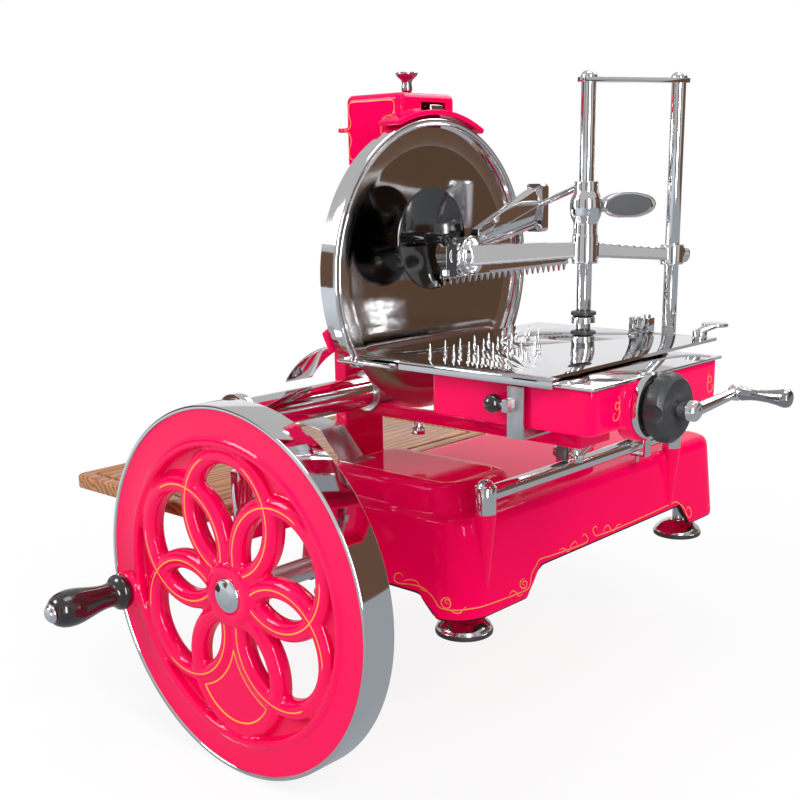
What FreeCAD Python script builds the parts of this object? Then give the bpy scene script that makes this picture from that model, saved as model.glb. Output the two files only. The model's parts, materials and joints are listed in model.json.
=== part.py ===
import FreeCAD, Part
import math
import os

os.makedirs("parts", exist_ok=True)

V = FreeCAD.Vector
EX = V(1, 0, 0)
EY = V(0, 1, 0)
EZ = V(0, 0, 1)

# Frame: origin on the sole plane at the centre of the four feet, +Z up, millimetres.
# +X is the side of the meat table, -Y is the flywheel end.

# fits
run_gap = 0.05            # radial gap of a running or seated round fit
face_gap = 0.3            # gap between curved faces of different bodies
slide_gap = 1.0           # gap between flat sliding faces

# base casting
base_half_x = 153.0
base_half_y = 318.0
base_draft = 9.0          # how far the sides lean in from the skirt to the deck
base_corner = 46.0
skirt_z = 31.0
deck_z = 156.0
deck_round = 13.0
base_wall = 9.0
arch_z = 66.0             # side arch height
chain_slot_z = 40.0       # bottom of the slot that the chain runs in
column_pad_z = 96.0       # bottom of the pad under the hollow column
column_pad_edge = 8.0
arch_front = -160.0
arch_rear = 190.0
arch_run = 30.0           # sloping length at each end of an arch
arch_round = 16.0
end_arch_z = 57.0
end_arch_half = 80.0
dome_in_x0 = 41.0         # from the skirt's sides to the dome
dome_in_x1 = 29.0
dome_in_y = 15.0
dome_x0 = -base_half_x + dome_in_x0
dome_x1 = base_half_x - dome_in_x1
dome_y0 = -base_half_y + dome_in_y
dome_y1 = -148.0
dome_z = 190.0
dome_draft = 13.0
dome_corner = 38.0
dome_round = 12.0

# feet
foot_in_x = 45.0          # from the skirt's sides to the axes of the feet
foot_in_y = 56.0
foot_x = base_half_x - foot_in_x
foot_y = base_half_y - foot_in_y
foot_r = 36.0
bell_z = 24.0
stem_r = 8.0
stem_top = 70.0
foot_boss_r = 17.0
foot_boss_z = 44.0

# front rod
rod_in = 4.0              # from the skirt's side to the axis of the rod
rod_x = base_half_x - rod_in
rod_z = 185.0
rod_r = 10.0
rod_y0 = -base_half_y + base_corner
rod_y1 = 159.0
socket_r = 13.0
socket_z0 = 163.0
socket_z1 = 195.0
cap_r = 11.0
pillar_foot_r = 3.0
pillar_foot_z = 75.0

# guide bar
bar_in_x = 55.0           # from the skirt's side to the axis of the bar
bar_x = -base_half_x + bar_in_x
bar_z = 272.5
bar_r = 21.0
bar_y0 = -440.0
bar_in_y = 20.0           # from the rear of the skirt to the end of the bar
bar_y1 = base_half_y - bar_in_y
eye_wall = 8.0
eye_len = 14.0
arm_top = 150.0
arm_deep = 28.0
arm_half = 13.0
stud_r = 6.0
hex_flat = 22.0
hex_len = 58.0
pedestal_half = 30.0
pedestal_len = 30.0

# flywheel
wheel_x = -57.0
wheel_z = 75.6
wheel_r = 226.0
wheel_w = 45.0
wheel_back = -454.0
band_out = 221.0
band_in = 188.0
band_deep = 2.5
ridge_in = 178.0
rim_back_in = 193.0
flange_t = 20.0
petals = 6
circle_d = 96.0           # distance of each petal circle from the axis
circle_r = 72.5
rib_r = 11.5
rib_z = 31.0              # height of the rib centre above the wheel's back face
web_t = 8.0
web_z = 22.0
segment_z = 26.0
segment_t = 14.0
hub_r = 40.0
hub_back = 10.0
hub_boss_r = 21.0
hub_boss_len = 27.0
hub_cap_r = 21.0
hub_cap_t = 6.0
shaft_r = 14.0
shaft_end = -140.0
flange_r = 30.0
flange_len = 26.0

# crank handle on the flywheel
grip_x = -200.0           # from the wheel axis
grip_z = -38.0
grip_boss_r = 24.0
grip_boss_t = 6.0         # stands out past the rim face
spindle_r = 6.0
grip_len = 104.0
grip_r = 23.5
grip_waist = 15.5
cap_len = 7.0
cap_end_r = 12.0

# drive train inside the base and the upright
cross_y = -190.0
bevel_teeth = 24
bevel_module = 2.2
bevel_face = 12.0
web_w = 12.0              # bearing web of the cross shaft
web_off = 10.8            # of its left face from halfway between the chain and the gear
chain_in = 20.0           # from the skirt's side to the middle of the chain
chain_x = -base_half_x + chain_in
chain_pitch = 12.7
chain_rows = 26           # pitches in each straight run
sprocket_teeth = 12
sprocket_t = 5.0
tooth_h = 4.2
chain_gap = 1.2           # between a side plate and the sprocket
plate_t = 1.5
plate_h = 9.0
link_pin = 5.0
drive_shaft_r = 8.0
lay_teeth = 48
blade_teeth = 24
gear_x0 = -62.0
gear_t = 12.0

# blade, guard ring and blade frame
blade_y = -258.6
blade_z = 440.7
blade_r = 159.5
blade_back = 52.0
blade_edge_x = 60.0
blade_dish = 3.5
blade_bevel = 20.0        # width of the ground bevel
blade_bevel_drop = 1.6
blade_shaft_r = 10.0
blade_flange_r = 32.0
ring_front = 69.0
ring_back = 40.0
ring_gap = 1.5            # between the blade's edge and the ring
ring_wall = 9.0
ring_in = blade_r + ring_gap
ring_out = ring_in + ring_wall
ring_round = 3.0
ring_cut_z = 344.0        # the ring is open below this height
column_half_x = 11.0
column_x0 = chain_x - column_half_x
column_x1 = chain_x + column_half_x
column_half_y = 36.0
column_wall = 5.0
case_x0 = -72.0
case_x1 = -40.0
case_wall = 6.0
case_y0 = -300.0
case_y1 = -124.0
case_z0 = 344.0
case_z1 = 479.0
head_x1 = 30.0
head_z0 = 389.0
head_y1 = -217.0
arm_t = 10.0
arm_w = 26.0

# sharpener
sharp_x0 = -38.0
sharp_x1 = 50.0
sharp_low_x1 = 30.0
sharp_y0 = -300.0
sharp_y1 = -203.0
blade_top = blade_z + blade_r
sharp_reach = 40.2        # of the box below the top of the blade
shelf_rise = 12.8         # of the box's step above the top of the blade
sharp_h = 25.0            # of the box above its step
sharp_z0 = blade_top - sharp_reach
sharp_shelf = blade_top + shelf_rise
sharp_z1 = sharp_shelf + sharp_h
sharp_wall = 4.0
sharp_round = 9.0
window_y0 = -264.0
window_y1 = -221.0
window_h = 15.0
window_z0 = sharp_shelf
window_z1 = window_z0 + window_h
hood_deep = 21.0
hood_t = 6.0
knob_x = 23.0
knob_r = 13.0
knob_h = 24.0
knob_stem_r = 5.0
stone_r = 18.0
stone_y = -275.0
stone_drop = 10.2         # of the stone's axis below the top of the blade
stone_z = blade_top - stone_drop
stone_t = 6.0
stone_shaft_r = 4.0

# carriage
tray_x0 = 196.0
tray_x1 = 391.0
tray_y0 = -425.0
tray_y1 = -185.0
tray_z0 = 313.0
tray_z1 = 357.0
tray_wall = 8.0
tray_round = 10.0
wing_lap = 3.0            # of the wing's end past the axis of the bar
wing_x0 = bar_x + wing_lap
wing_y0 = -215.0
wing_y1 = -150.0
wing_z0 = 242.0
wing_z1 = 259.0
bolt_left_x = -33.0
bolt_right_x = 214.0
shoe_wall = 6.0
shoe_reach = 13.0
shoe_left = bar_x - shoe_reach
rail_x0 = 192.0
rail_x1 = 212.0
rail_z0 = 258.0
rail_y1 = 72.0
roller_r = 11.0
roller_w = 16.0
roller_edge = 1.2
roller_pin_r = 4.0
front_roller_y = -111.0
rear_roller_y = 44.0
strut_w = 15.0
plate_x0 = 79.0
plate_thick = 3.0
plate_front = -440.0
plate_step_x = 156.0

# meat table
table_x0 = 99.0
table_x1 = 345.0
table_y0 = -428.0
table_y1 = -103.0
table_t = 3.5
table_top = 366.0
lip_x0 = 166.0
lip_x1 = 356.0
lip_y0 = -438.0
lip_drop = 9.0
pin_r = 2.0
pin_h = 12.0
pin_pitch = 25.0
pin_rows = ((164.0, -386.0, 8), (189.0, -377.0, 7), (214.0, -368.0, 5))   # x, first y, count
nut_x = 250.0
nut_half = 14.0
nut_side = 9.0

# wooden board
board_x0 = -446.0
board_gap = 4.0           # between the skirt and the board
board_x1 = -base_half_x - board_gap
board_y0 = -446.0
board_y1 = 130.0
board_z0 = 132.0
board_z1 = 150.0
rest_gap = 0.2            # the board stands this far above its rests
rest_w = 26.0
rest_deep = 26.0
rest_in_y = 50.0          # from the front of the skirt to the first rest
rest_front_y = -base_half_y + rest_in_y
rest_rear_y = 60.0

# feed screw, dial and crank
screw_y = -333.0
screw_z = 331.0
screw_r = 5.0
screw_x0 = 200.0
boss_r = 36.0
boss_x1 = 395.0
bezel_r = 32.5
bezel_in_r = 26.0
bezel_t = 7.0
dial_x0 = 403.0
dial_t = 24.0
dial_r = 33.5
dial_lobes = 6
dial_lobe_r = 9.0
dial_neck_r = 25.0
crank_x = 437.0
crank_reach = 70.0
crank_r = 6.0
crank_pin_r = 3.5
crank_hub_r = 9.0
ball_r = 9.5
knob_pin_r = 3.0
crank_grip_len = 50.0
crank_grip_r = 8.0

# clamp
col_a = V(243, -218, 0)
col_b = V(291, -115, 0)
col_r = 8.0
col_top = 640.0
col_collar_r = 13.0
collar_h = 9.0
collar_rise = 21.0        # of the stop collar above the first one
cross_t = 5.0
cross_w = 13.0
arm_z = 467.0
hub_drop = 8.0            # of the hub and of the far boss below the column boss
boss_b_drop = 10.0
boss_h = 30.0
hub_x = 112.0
hub_y = -262.0
arm_hub_r = 22.0
lever_neck = 12.0
lever_pin_r = 2.5
grip_oval_from = 5.0      # from the pin to the near end of the oval
grip_oval_half = 34.0
grip_oval_high = 14.5
grip_oval_t = 12.0
tower_r = 13.0
tower_h = 58.0
lever_rise = 46.0         # of the squeeze grip's pin above the arm
swell_r = 17.5
comb_x = 101.0
comb_y0 = -287.0
comb_y1 = -37.0
comb_z0 = 434.0
comb_t = 4.0
comb_teeth = 22
tooth_len = 8.0
comb_bar_h = 9.0
carrier_y0 = 6.0          # from the front end of the comb
carrier_len = 60.0
disc_y = -297.0
disc_z = 479.0
disc_r = 56.0
disc_x = 84.0
disc_t = 2.5
disc_dish = 9.0
fin_end = V(118, -140, 513)
fin_plate_w = 24.0
fin_plate_t = 13.0
fin_plate_h = 56.0
fin_strut_r = 4.5
fin_strut_drop = 24.0     # of the strut's far end below the end of the fin
fin_strut_low = 13.0
fin_tie_r = 3.5
fin_tie_rise = 66.0

# small pieces
chute_left = V(-106, 0, 304)      # curve of the slice deflector
chute_mid = V(-62, 0, 341)
chute_top_z = 352.0
chute_wide = 46.0
chute_t = 2.0
chute_tab_x0 = -34.0
chute_tab_x1 = -8.0
drip_t = 1.5
drip_out_x = -162.0
drip_out_z = 234.0
drip_low_x = -120.0
drip_low_z = 228.0
drip_bend_x = -85.0
drip_in_x = -62.0
board_edge_r = 16.0
groove_in = 18.0          # from the edge of the board to its groove
groove_w = 6.0
groove_deep = 3.0
sharp_lip = 12.0
sharp_lip_drop = 16.0     # of the lip below the step of the box
sharp_lip_z = sharp_shelf - sharp_lip_drop
sharp_lip_t = 5.0
hood_from = 112.0         # degrees from +Y
hood_to = 62.0
stone_boss = 9.0
strap_x0 = 300.0
strap_x1 = 319.0
strap_y0 = -432.0
strap_y1 = -383.0
strap_t = 2.5
strap_low = 10.0          # below the tray
knob_x0 = 287.0
knob_y0 = -437.0
knob_z0 = 336.0
block_x = 236.0
block_y = -112.0
block_w = 26.0
block_h = 16.0
thumb_x = 334.0
thumb_y = -122.0
thumb_reach = 34.0
thumb_pad_r = 15.0


def box(x0, x1, y0, y1, z0, z1):
    return Part.makeBox(x1 - x0, y1 - y0, z1 - z0, V(x0, y0, z0))


def rod(start, axis, r, length):
    return Part.makeCylinder(r, length, start, axis)


def fuse(shapes):
    return shapes[0].fuse(shapes[1:]).removeSplitter()


def save(shape, node):
    shape.exportStep("parts/" + node + ".step")


def group(shapes, node):
    save(Part.makeCompound(shapes), node)


def face_of(points):
    return Part.Face(Part.makePolygon(points + [points[0]]))


def turned(profile, base, axis):
    """Solid turned from (radius, height) points about an axis through base."""
    points = [V(r, 0, h) for r, h in profile]
    solid = face_of(points).revolve(V(0, 0, 0), EZ, 360)
    return placed(solid, base, axis)


def placed(shape, base, axis):
    """Carries a shape built on +Z to stand on base along axis."""
    out = shape.copy()
    out.Placement = FreeCAD.Placement(base, FreeCAD.Rotation(EZ, axis)).multiply(out.Placement)
    return out


def rounded_rect(x0, x1, y0, y1, z, r):
    corners = [(x1 - r, y1 - r, 0), (x0 + r, y1 - r, 90), (x0 + r, y0 + r, 180), (x1 - r, y0 + r, 270)]
    edges = []
    for cx, cy, a in corners:
        mid = math.radians(a + 45)
        p0 = V(cx + r * math.cos(math.radians(a)), cy + r * math.sin(math.radians(a)), z)
        p1 = V(cx + r * math.cos(mid), cy + r * math.sin(mid), z)
        p2 = V(cx + r * math.cos(math.radians(a + 90)), cy + r * math.sin(math.radians(a + 90)), z)
        edges.append(Part.Arc(p0, p1, p2).toShape())
    wire = []
    for i, edge in enumerate(edges):
        after = edges[(i + 1) % len(edges)]
        wire.append(edge)
        wire.append(Part.makeLine(edge.Vertexes[-1].Point, after.Vertexes[0].Point))
    return Part.Wire(wire)


def drafted(x0, x1, y0, y1, z0, z1, r, lean):
    low = rounded_rect(x0, x1, y0, y1, z0, r)
    high = rounded_rect(x0 + lean, x1 - lean, y0 + lean, y1 - lean, z1, r)
    return Part.makeLoft([low, high], True, True)


def rounded_box(x0, x1, y0, y1, z0, z1, r, edge_r):
    solid = Part.Face(rounded_rect(x0, x1, y0, y1, z0, r)).extrude(V(0, 0, z1 - z0))
    if edge_r > 0:
        solid = solid.makeFillet(edge_r, level_edges(solid, z1))
    return solid


def level_edges(solid, z):
    return [e for e in solid.Edges if all(abs(v.Point.z - z) < 0.01 for v in e.Vertexes)]


def turned_ring(r_in, r_out, base, axis, length):
    return rod(base, axis, r_out, length).cut(rod(base, axis, r_in, length))


# ---------------------------------------------------------------- base

def side_lean(z):
    """How far the drafted side has moved in at height z."""
    return base_draft * (z - skirt_z) / (deck_z - skirt_z)


def arch(axis, half, lo, hi, top):
    """A long low arch to cut from the skirt; axis is the way it is cut through."""
    z0 = skirt_z - 1
    if axis == "x":
        pts = [V(-half, lo - arch_run, z0), V(-half, lo, top), V(-half, hi, top), V(-half, hi + arch_run, z0)]
        solid = face_of(pts).extrude(V(2 * half, 0, 0))
        level = [e for e in solid.Edges if abs(e.Length - 2 * half) < 0.01]
    else:
        pts = [V(lo - arch_run, -half, z0), V(lo, -half, top), V(hi, -half, top), V(hi + arch_run, -half, z0)]
        solid = face_of(pts).extrude(V(0, 2 * half, 0))
        level = [e for e in solid.Edges if abs(e.Length - 2 * half) < 0.01]
    tops = [e for e in level if abs(e.Vertexes[0].Point.z - top) < 0.01]
    return solid.makeFillet(arch_round, tops)


def base_casting():
    shell = drafted(-base_half_x, base_half_x, -base_half_y, base_half_y,
                    skirt_z, deck_z, base_corner, base_draft)
    shell = shell.makeFillet(deck_round, level_edges(shell, deck_z))
    dome = drafted(dome_x0, dome_x1, dome_y0, dome_y1, deck_z - base_wall, dome_z, dome_corner, dome_draft)
    dome = dome.makeFillet(dome_round, level_edges(dome, dome_z))
    # pillars for the front rod
    pillars = []
    for y in (rod_y0, rod_y1):
        cone = Part.makeCone(pillar_foot_r, socket_r, socket_z0 - pillar_foot_z,
                             V(rod_x, y, pillar_foot_z), EZ)
        pillars.append(cone)
    # arm that carries the near end of the guide bar
    post_y = bar_y0 + eye_len / 2
    arm = box(bar_x - arm_half, bar_x + arm_half, post_y, -base_half_y + 2 * base_wall,
              arm_top - arm_deep, arm_top)
    arm_end = rod(V(bar_x, post_y, arm_top - arm_deep), EZ, arm_half, arm_deep)
    # pedestal with an eye for the far end
    ped_y = bar_y1 - pedestal_len
    pedestal = box(bar_x - pedestal_half, bar_x + pedestal_half, ped_y, bar_y1 - 2, deck_z - base_wall, bar_z)
    ped_eye = rod(V(bar_x, ped_y, bar_z), EY, pedestal_half, pedestal_len - 2)
    # raised pad that the hollow column stands on
    pad = box(column_x0 - 2, column_x1 + 4, cross_y - column_half_y - column_pad_edge,
              cross_y + column_half_y + column_pad_edge, column_pad_z, deck_z)
    pad = pad.makeFillet(6, [e for e in pad.Edges if abs(e.Length - (deck_z - column_pad_z)) < 0.01
                             and e.Vertexes[0].Point.x < column_x0])
    # arms that carry the wooden board
    rests = []
    for y in (rest_front_y, rest_rear_y):
        rests.append(box(board_x0 + 46, -base_half_x + base_wall, y, y + rest_w,
                         board_z0 - rest_deep, board_z0 - rest_gap))
    outer = shell.fuse([dome, arm, arm_end, pedestal, ped_eye, pad] + pillars + rests)
    # hollow underside
    w = base_wall
    cavity = drafted(-base_half_x + w, base_half_x - w, -base_half_y + w, base_half_y - w,
                     skirt_z - 1, deck_z - w, base_corner - w, base_draft)
    dome_room = drafted(dome_x0 + w, dome_x1 - w, dome_y0 + w, dome_y1 - w,
                        deck_z - 2 * w, dome_z - w, dome_corner - w, dome_draft)
    body = outer.cut(cavity.fuse(dome_room))
    body = body.cut(arch("x", base_half_x + 20, arch_front, arch_rear, arch_z))
    body = body.cut(arch("y", base_half_y + 20, -end_arch_half, end_arch_half, end_arch_z))
    # bosses for the feet and the shaft bearings
    inner = []
    for sx in (-1, 1):
        for sy in (-1, 1):
            inner.append(rod(V(sx * foot_x, sy * foot_y, foot_boss_z), EZ, foot_boss_r,
                             deck_z - w - foot_boss_z))
    web_y = shaft_end - 18
    inner.append(box(wheel_x - 20, wheel_x + 20, web_y, web_y + 12, wheel_z - 22, deck_z - w))
    inner.append(rod(V(wheel_x, -base_half_y + w, wheel_z), EY, 24, 20))
    pinion = bevel_module * bevel_teeth / 2
    web_x = (chain_x + wheel_x - pinion) / 2 - web_off
    inner.append(box(web_x, web_x + web_w, cross_y - 20, cross_y + 20, wheel_z - 20, deck_z - w))
    body = body.fuse(inner)
    # bores
    cuts = []
    cuts.append(rod(V(wheel_x, -base_half_y - 20, wheel_z), EY, shaft_r + run_gap,
                    base_half_y + shaft_end + 30))
    cuts.append(rod(V(web_x - 2, cross_y, wheel_z), EX, drive_shaft_r + run_gap, 20))
    for sx in (-1, 1):
        for sy in (-1, 1):
            cuts.append(rod(V(sx * foot_x, sy * foot_y, foot_boss_z - 1), EZ, stem_r + run_gap,
                            stem_top - foot_boss_z + 1.1))
    cuts.append(rod(V(bar_x, ped_y - 1, bar_z), EY, bar_r + run_gap, pedestal_len))
    half = column_half_y - column_wall
    cuts.append(box(column_x0 + column_wall, column_x1 - column_wall, cross_y - half, cross_y + half,
                    chain_slot_z, deck_z + 1))
    body = body.cut(cuts)
    return body.removeSplitter()


def feet():
    stems = []
    bells = []
    for sx in (-1, 1):
        for sy in (-1, 1):
            at = V(sx * foot_x, sy * foot_y, 0)
            profile = [(0, bell_z - 6), (stem_r, bell_z - 6), (stem_r, stem_top), (0, stem_top)]
            stems.append(turned(profile, at, EZ))
            bells.append(foot_bell(at))
    return stems, bells


def foot_bell(at):
    rim = 5.0
    neck_r = stem_r + 5
    profile = [(0, 0), (foot_r - 2, 0), (foot_r, 2), (foot_r, rim), (foot_r - 3.5, rim + 6),
               (foot_r - 10, bell_z - 6), (neck_r + 4, bell_z - 2), (neck_r, bell_z), (0, bell_z)]
    solid = turned(profile, V(0, 0, 0), EZ)
    solid = solid.cut(rod(V(0, 0, bell_z - 6), EZ, stem_r + run_gap, 10))
    return placed(solid, at, EZ)


def rod_sockets():
    solids = []
    for y, inward in ((rod_y0, 1), (rod_y1, -1)):
        at = V(rod_x, y, socket_z0)
        barrel = rod(at, EZ, socket_r, socket_z1 - socket_z0)
        rim = socket_z1 - 2
        ball = Part.makeSphere(cap_r, V(rod_x, y, rim))
        piece = barrel.fuse(ball)
        hole = rod(V(rod_x, y - inward * 0.2, rod_z), V(0, inward, 0), rod_r + run_gap, socket_r + 3)
        solids.append(piece.cut(hole).removeSplitter())
    return solids


def bar_end_post():
    eye_r = bar_r + eye_wall
    y0 = bar_y0 - 2
    eye = turned_ring(bar_r + run_gap, eye_r, V(bar_x, y0 + 2, bar_z), EY, eye_len)
    post_y = bar_y0 + eye_len / 2
    stud_low = arm_top + hex_len - 1
    stud = rod(V(bar_x, post_y, stud_low), EZ, stud_r, bar_z - bar_r - 3 - stud_low)
    hexagon = Part.Face(Part.makePolygon([
        V(bar_x + hex_flat / math.sqrt(3) * math.cos(math.radians(60 * i)),
          post_y + hex_flat / math.sqrt(3) * math.sin(math.radians(60 * i)), arm_top) for i in range(7)]))
    socket = hexagon.extrude(V(0, 0, hex_len))
    return fuse([eye, stud, socket])


# ---------------------------------------------------------------- flywheel

def wheel_place(shape):
    """Local +Z becomes the wheel's front (-Y), local +Y becomes up."""
    out = shape.copy()
    turn = FreeCAD.Rotation(EX, 90)
    out.Placement = FreeCAD.Placement(V(wheel_x, wheel_back, wheel_z), turn).multiply(out.Placement)
    return out


def circle_centre(i):
    a = math.radians(90 + i * 360 / petals)
    return V(circle_d * math.cos(a), circle_d * math.sin(a), 0)


def rib_profile():
    """Section of a petal rib: a barrel with bevelled shoulders, as (radius, height) points."""
    low = rib_z - rib_r
    high = rib_z + rib_r
    r = circle_r
    w = rib_r
    k = rib_r * 0.42
    return [(r - w, rib_z - k), (r - k, low), (r + k, low), (r + w, rib_z - k), (r + w, rib_z + k),
            (r + k, high), (r - k, high), (r - w, rib_z + k)]


def flywheel():
    top = wheel_w
    profile = [
        (rim_back_in, 0), (wheel_r, 0), (wheel_r, top), (band_out, top), (band_out, top - band_deep),
        (band_in, top - band_deep), (band_in - 1.5, top), (ridge_in + 2, top), (ridge_in, top - 2),
        (ridge_in, top - flange_t), (rim_back_in - 3, top - flange_t - 6)]
    rim = turned(profile, V(0, 0, 0), EZ)
    ribs = [turned(rib_profile(), circle_centre(i), EZ) for i in range(petals)]
    # thin web that fills the corners between the circles and the rim
    web = turned_ring(circle_d, ridge_in + 1, V(0, 0, web_z), EZ, web_t)
    holes = [rod(circle_centre(i) + V(0, 0, web_z - 1), EZ, circle_r, web_t + 2) for i in range(petals)]
    web = web.cut(holes)
    # the bottom circle is filled, apart from its two petals
    low = petals // 2
    fill = rod(circle_centre(low) + V(0, 0, segment_z), EZ, circle_r + 1, segment_t)
    sides = []
    for i in (low - 1, low + 1):
        sides.append(rod(circle_centre(i) + V(0, 0, segment_z - 1), EZ, circle_r, segment_t + 2))
    fill = fill.cut(sides)
    hub = turned([(0, hub_back - hub_boss_len), (hub_boss_r, hub_back - hub_boss_len), (hub_boss_r, hub_back),
                  (hub_r - 3, hub_back), (hub_r, hub_back + 3), (hub_r, top - 4), (hub_r - 3, top - 1),
                  (0, top - 1)], V(0, 0, 0), EZ)
    boss = rod(V(grip_x, grip_z, 0), EZ, grip_boss_r, wheel_w + grip_boss_t)
    boss = boss.makeFillet(3, level_edges(boss, wheel_w + grip_boss_t))
    body = rim.fuse(ribs + [web, fill, hub, boss])
    bore = rod(V(0, 0, hub_back - hub_boss_len - 1), EZ, shaft_r + run_gap, top - hub_back + hub_boss_len - 4)
    seat = rod(V(0, 0, top - 1 - hub_cap_t + 2), EZ, hub_cap_r + run_gap, 10)
    pin = rod(V(grip_x, grip_z, wheel_w - 20), EZ, spindle_r + run_gap, 40)
    body = body.cut([bore, seat, pin])
    return wheel_place(body.removeSplitter())


def hub_cap():
    z0 = wheel_w - 1 - hub_cap_t + 2
    profile = [(0, z0), (hub_cap_r, z0), (hub_cap_r, z0 + 3), (hub_cap_r - 4, z0 + 5), (0, z0 + 6)]
    return wheel_place(turned(profile, V(0, 0, 0), EZ))


def flywheel_shaft():
    end = wheel_w - 1 - hub_cap_t + 1
    start = wheel_back - end
    return rod(V(wheel_x, start, wheel_z), EY, shaft_r, shaft_end - start)


def shaft_flange():
    y0 = -base_half_y + side_lean(wheel_z)
    profile = [(shaft_r + run_gap, -4), (flange_r, -4), (flange_r, 5), (flange_r - 6, 9), (shaft_r + 8, 13),
               (shaft_r + 5, flange_len), (shaft_r + run_gap, flange_len)]
    solid = turned(profile, V(wheel_x, y0, wheel_z), V(0, -1, 0))
    # the seat follows the leaning end wall
    lean = math.degrees(math.atan2(base_draft, deck_z - skirt_z))
    wall = Part.makeBox(200, 40, 200, V(wheel_x - 100, 0, -100))
    wall.rotate(V(0, 0, 0), EX, -lean)
    wall.translate(V(0, y0, wheel_z))
    return solid.cut(wall)


def handle_spindle():
    return wheel_place(rod(V(grip_x, grip_z, wheel_w - 20), EZ, spindle_r, 20 + grip_boss_t + grip_len + 3))


def handle_grip():
    z0 = wheel_w + grip_boss_t + 0.5
    c = spindle_r + run_gap
    pts = [(c, 0), (grip_r - 3, 0), (grip_r, 4), (grip_r, 10), (grip_r - 7, 15), (grip_waist, 22)]
    lower = [V(r, 0, z) for r, z in pts]
    edges = [Part.makeLine(lower[i], lower[i + 1]) for i in range(len(lower) - 1)]
    swell = grip_len - 26
    a = lower[-1]
    b = V(grip_r - 1, 0, swell)
    edges.append(Part.Arc(a, V((grip_waist + grip_r) / 2 - 1.5, 0, (22 + swell) / 2), b).toShape())
    end = V(cap_end_r + 1, 0, grip_len)
    edges.append(Part.Arc(b, V(grip_r - 2, 0, swell + 16), end).toShape())
    edges.append(Part.makeLine(end, V(c, 0, grip_len)))
    edges.append(Part.makeLine(V(c, 0, grip_len), V(c, 0, 0)))
    solid = Part.Face(Part.Wire(edges)).revolve(V(0, 0, 0), EZ, 360)
    solid = placed(solid, V(grip_x, grip_z, z0), EZ)
    return wheel_place(solid)


def handle_cap():
    z0 = wheel_w + grip_boss_t + 0.5 + grip_len + 0.3
    hole = 2.8
    profile = [(0, hole), (spindle_r + run_gap, hole), (spindle_r + run_gap, 0), (cap_end_r, 0),
               (cap_end_r - 1, 3), (cap_end_r - 5, cap_len - 1), (0, cap_len)]
    return wheel_place(turned(profile, V(grip_x, grip_z, z0), EZ))


# ---------------------------------------------------------------- drive train

def bevel_gear(teeth, mate, module, face, bore, back):
    """Straight bevel gear with its apex at the origin and its teeth towards +Z from the apex side.
    The axis is +Z; the blank runs from the large end down to the back face."""
    cone = math.atan2(teeth, mate)
    pitch_r = module * teeth / 2
    reach = pitch_r / math.sin(cone)
    add = module * 0.8
    ded = module * 1.1

    def point(dist, height, angle):
        """Distance from the apex along the pitch cone, height above it, and angle round the axis."""
        r = dist * math.sin(cone) + height * math.cos(cone)
        z = dist * math.cos(cone) - height * math.sin(cone)
        return V(r * math.cos(angle), r * math.sin(angle), z)

    inner = reach - face
    solids = []
    step = 2 * math.pi / teeth
    root = step * 0.26
    tip = step * 0.12
    for i in range(teeth):
        a = i * step
        wires = []
        for dist in (reach, inner):
            k = dist / reach
            pts = [point(dist, -ded * k - 0.3, a - root), point(dist, add * k, a - tip),
                   point(dist, add * k, a + tip), point(dist, -ded * k - 0.3, a + root)]
            wires.append(Part.makePolygon(pts + [pts[0]]))
        solids.append(Part.makeLoft(wires, True, True))
    big = point(reach, -ded, 0)
    small = point(inner, -ded * inner / reach, 0)
    blank = turned([(0, small.z), (small.x, small.z), (big.x, big.z), (big.x - 2, big.z + back),
                    (0, big.z + back)], V(0, 0, 0), EZ)
    gear = blank.fuse(solids)
    return gear.cut(rod(V(0, 0, small.z - 1), EZ, bore, big.z + back - small.z + 2)).removeSplitter()


def chain_top():
    return wheel_z + chain_rows * chain_pitch


def sprocket_r():
    return chain_pitch / 2 / math.sin(math.pi / sprocket_teeth)


def sprocket(z):
    r = sprocket_r()
    step = 360 / sprocket_teeth
    blank = rod(V(-sprocket_t / 2, 0, 0), EX, r - link_pin / 2 - 0.4, sprocket_t)
    teeth = []
    half = chain_pitch / 2 - link_pin / 2 - 0.8
    for i in range(sprocket_teeth):
        pts = [V(-sprocket_t / 2, -half, r - link_pin), V(-sprocket_t / 2, -half + 1.8, r + tooth_h - 1),
               V(-sprocket_t / 2, half - 1.8, r + tooth_h - 1), V(-sprocket_t / 2, half, r - link_pin)]
        tooth = face_of(pts).extrude(V(sprocket_t, 0, 0))
        tooth.rotate(V(0, 0, 0), EX, (i + 0.5) * step)
        teeth.append(tooth)
    gear = fuse([blank] + teeth)
    gear = gear.cut(rod(V(-sprocket_t, 0, 0), EX, drive_shaft_r + run_gap, 2 * sprocket_t))
    gear.translate(V(chain_x, cross_y, z))
    return gear


def oval_band(r, x0, x1):
    z0 = wheel_z
    z1 = chain_top()
    run = box(x0, x1, cross_y - r, cross_y + r, z0, z1)
    ends = [rod(V(x0, cross_y, z), EX, r, x1 - x0) for z in (z0, z1)]
    return run.fuse(ends)


def drive_chain():
    r = sprocket_r()
    half = sprocket_t / 2 + chain_gap
    sides = []
    for x0 in (chain_x - half - plate_t, chain_x + half):
        outer = oval_band(r + plate_h / 2, x0, x0 + plate_t)
        inner = oval_band(r - plate_h / 2, x0, x0 + plate_t)
        sides.append(outer.cut(inner))
    pins = []
    long = 2 * half + plate_t
    pin = Part.makeBox(long, link_pin, link_pin, V(-long / 2, -link_pin / 2, -link_pin / 2))
    # the teeth have to pass, so there are no pins inside their tip circle
    sweep = r + tooth_h + link_pin
    skip = math.ceil(math.sqrt(sweep * sweep - r * r) / chain_pitch)
    for i in range(skip, chain_rows + 1 - skip):
        for side in (-1, 1):
            one = pin.copy()
            one.translate(V(chain_x, cross_y + side * r, wheel_z + i * chain_pitch))
            pins.append(one)
    return sides[0].fuse([sides[1]] + pins).removeSplitter()


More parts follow.
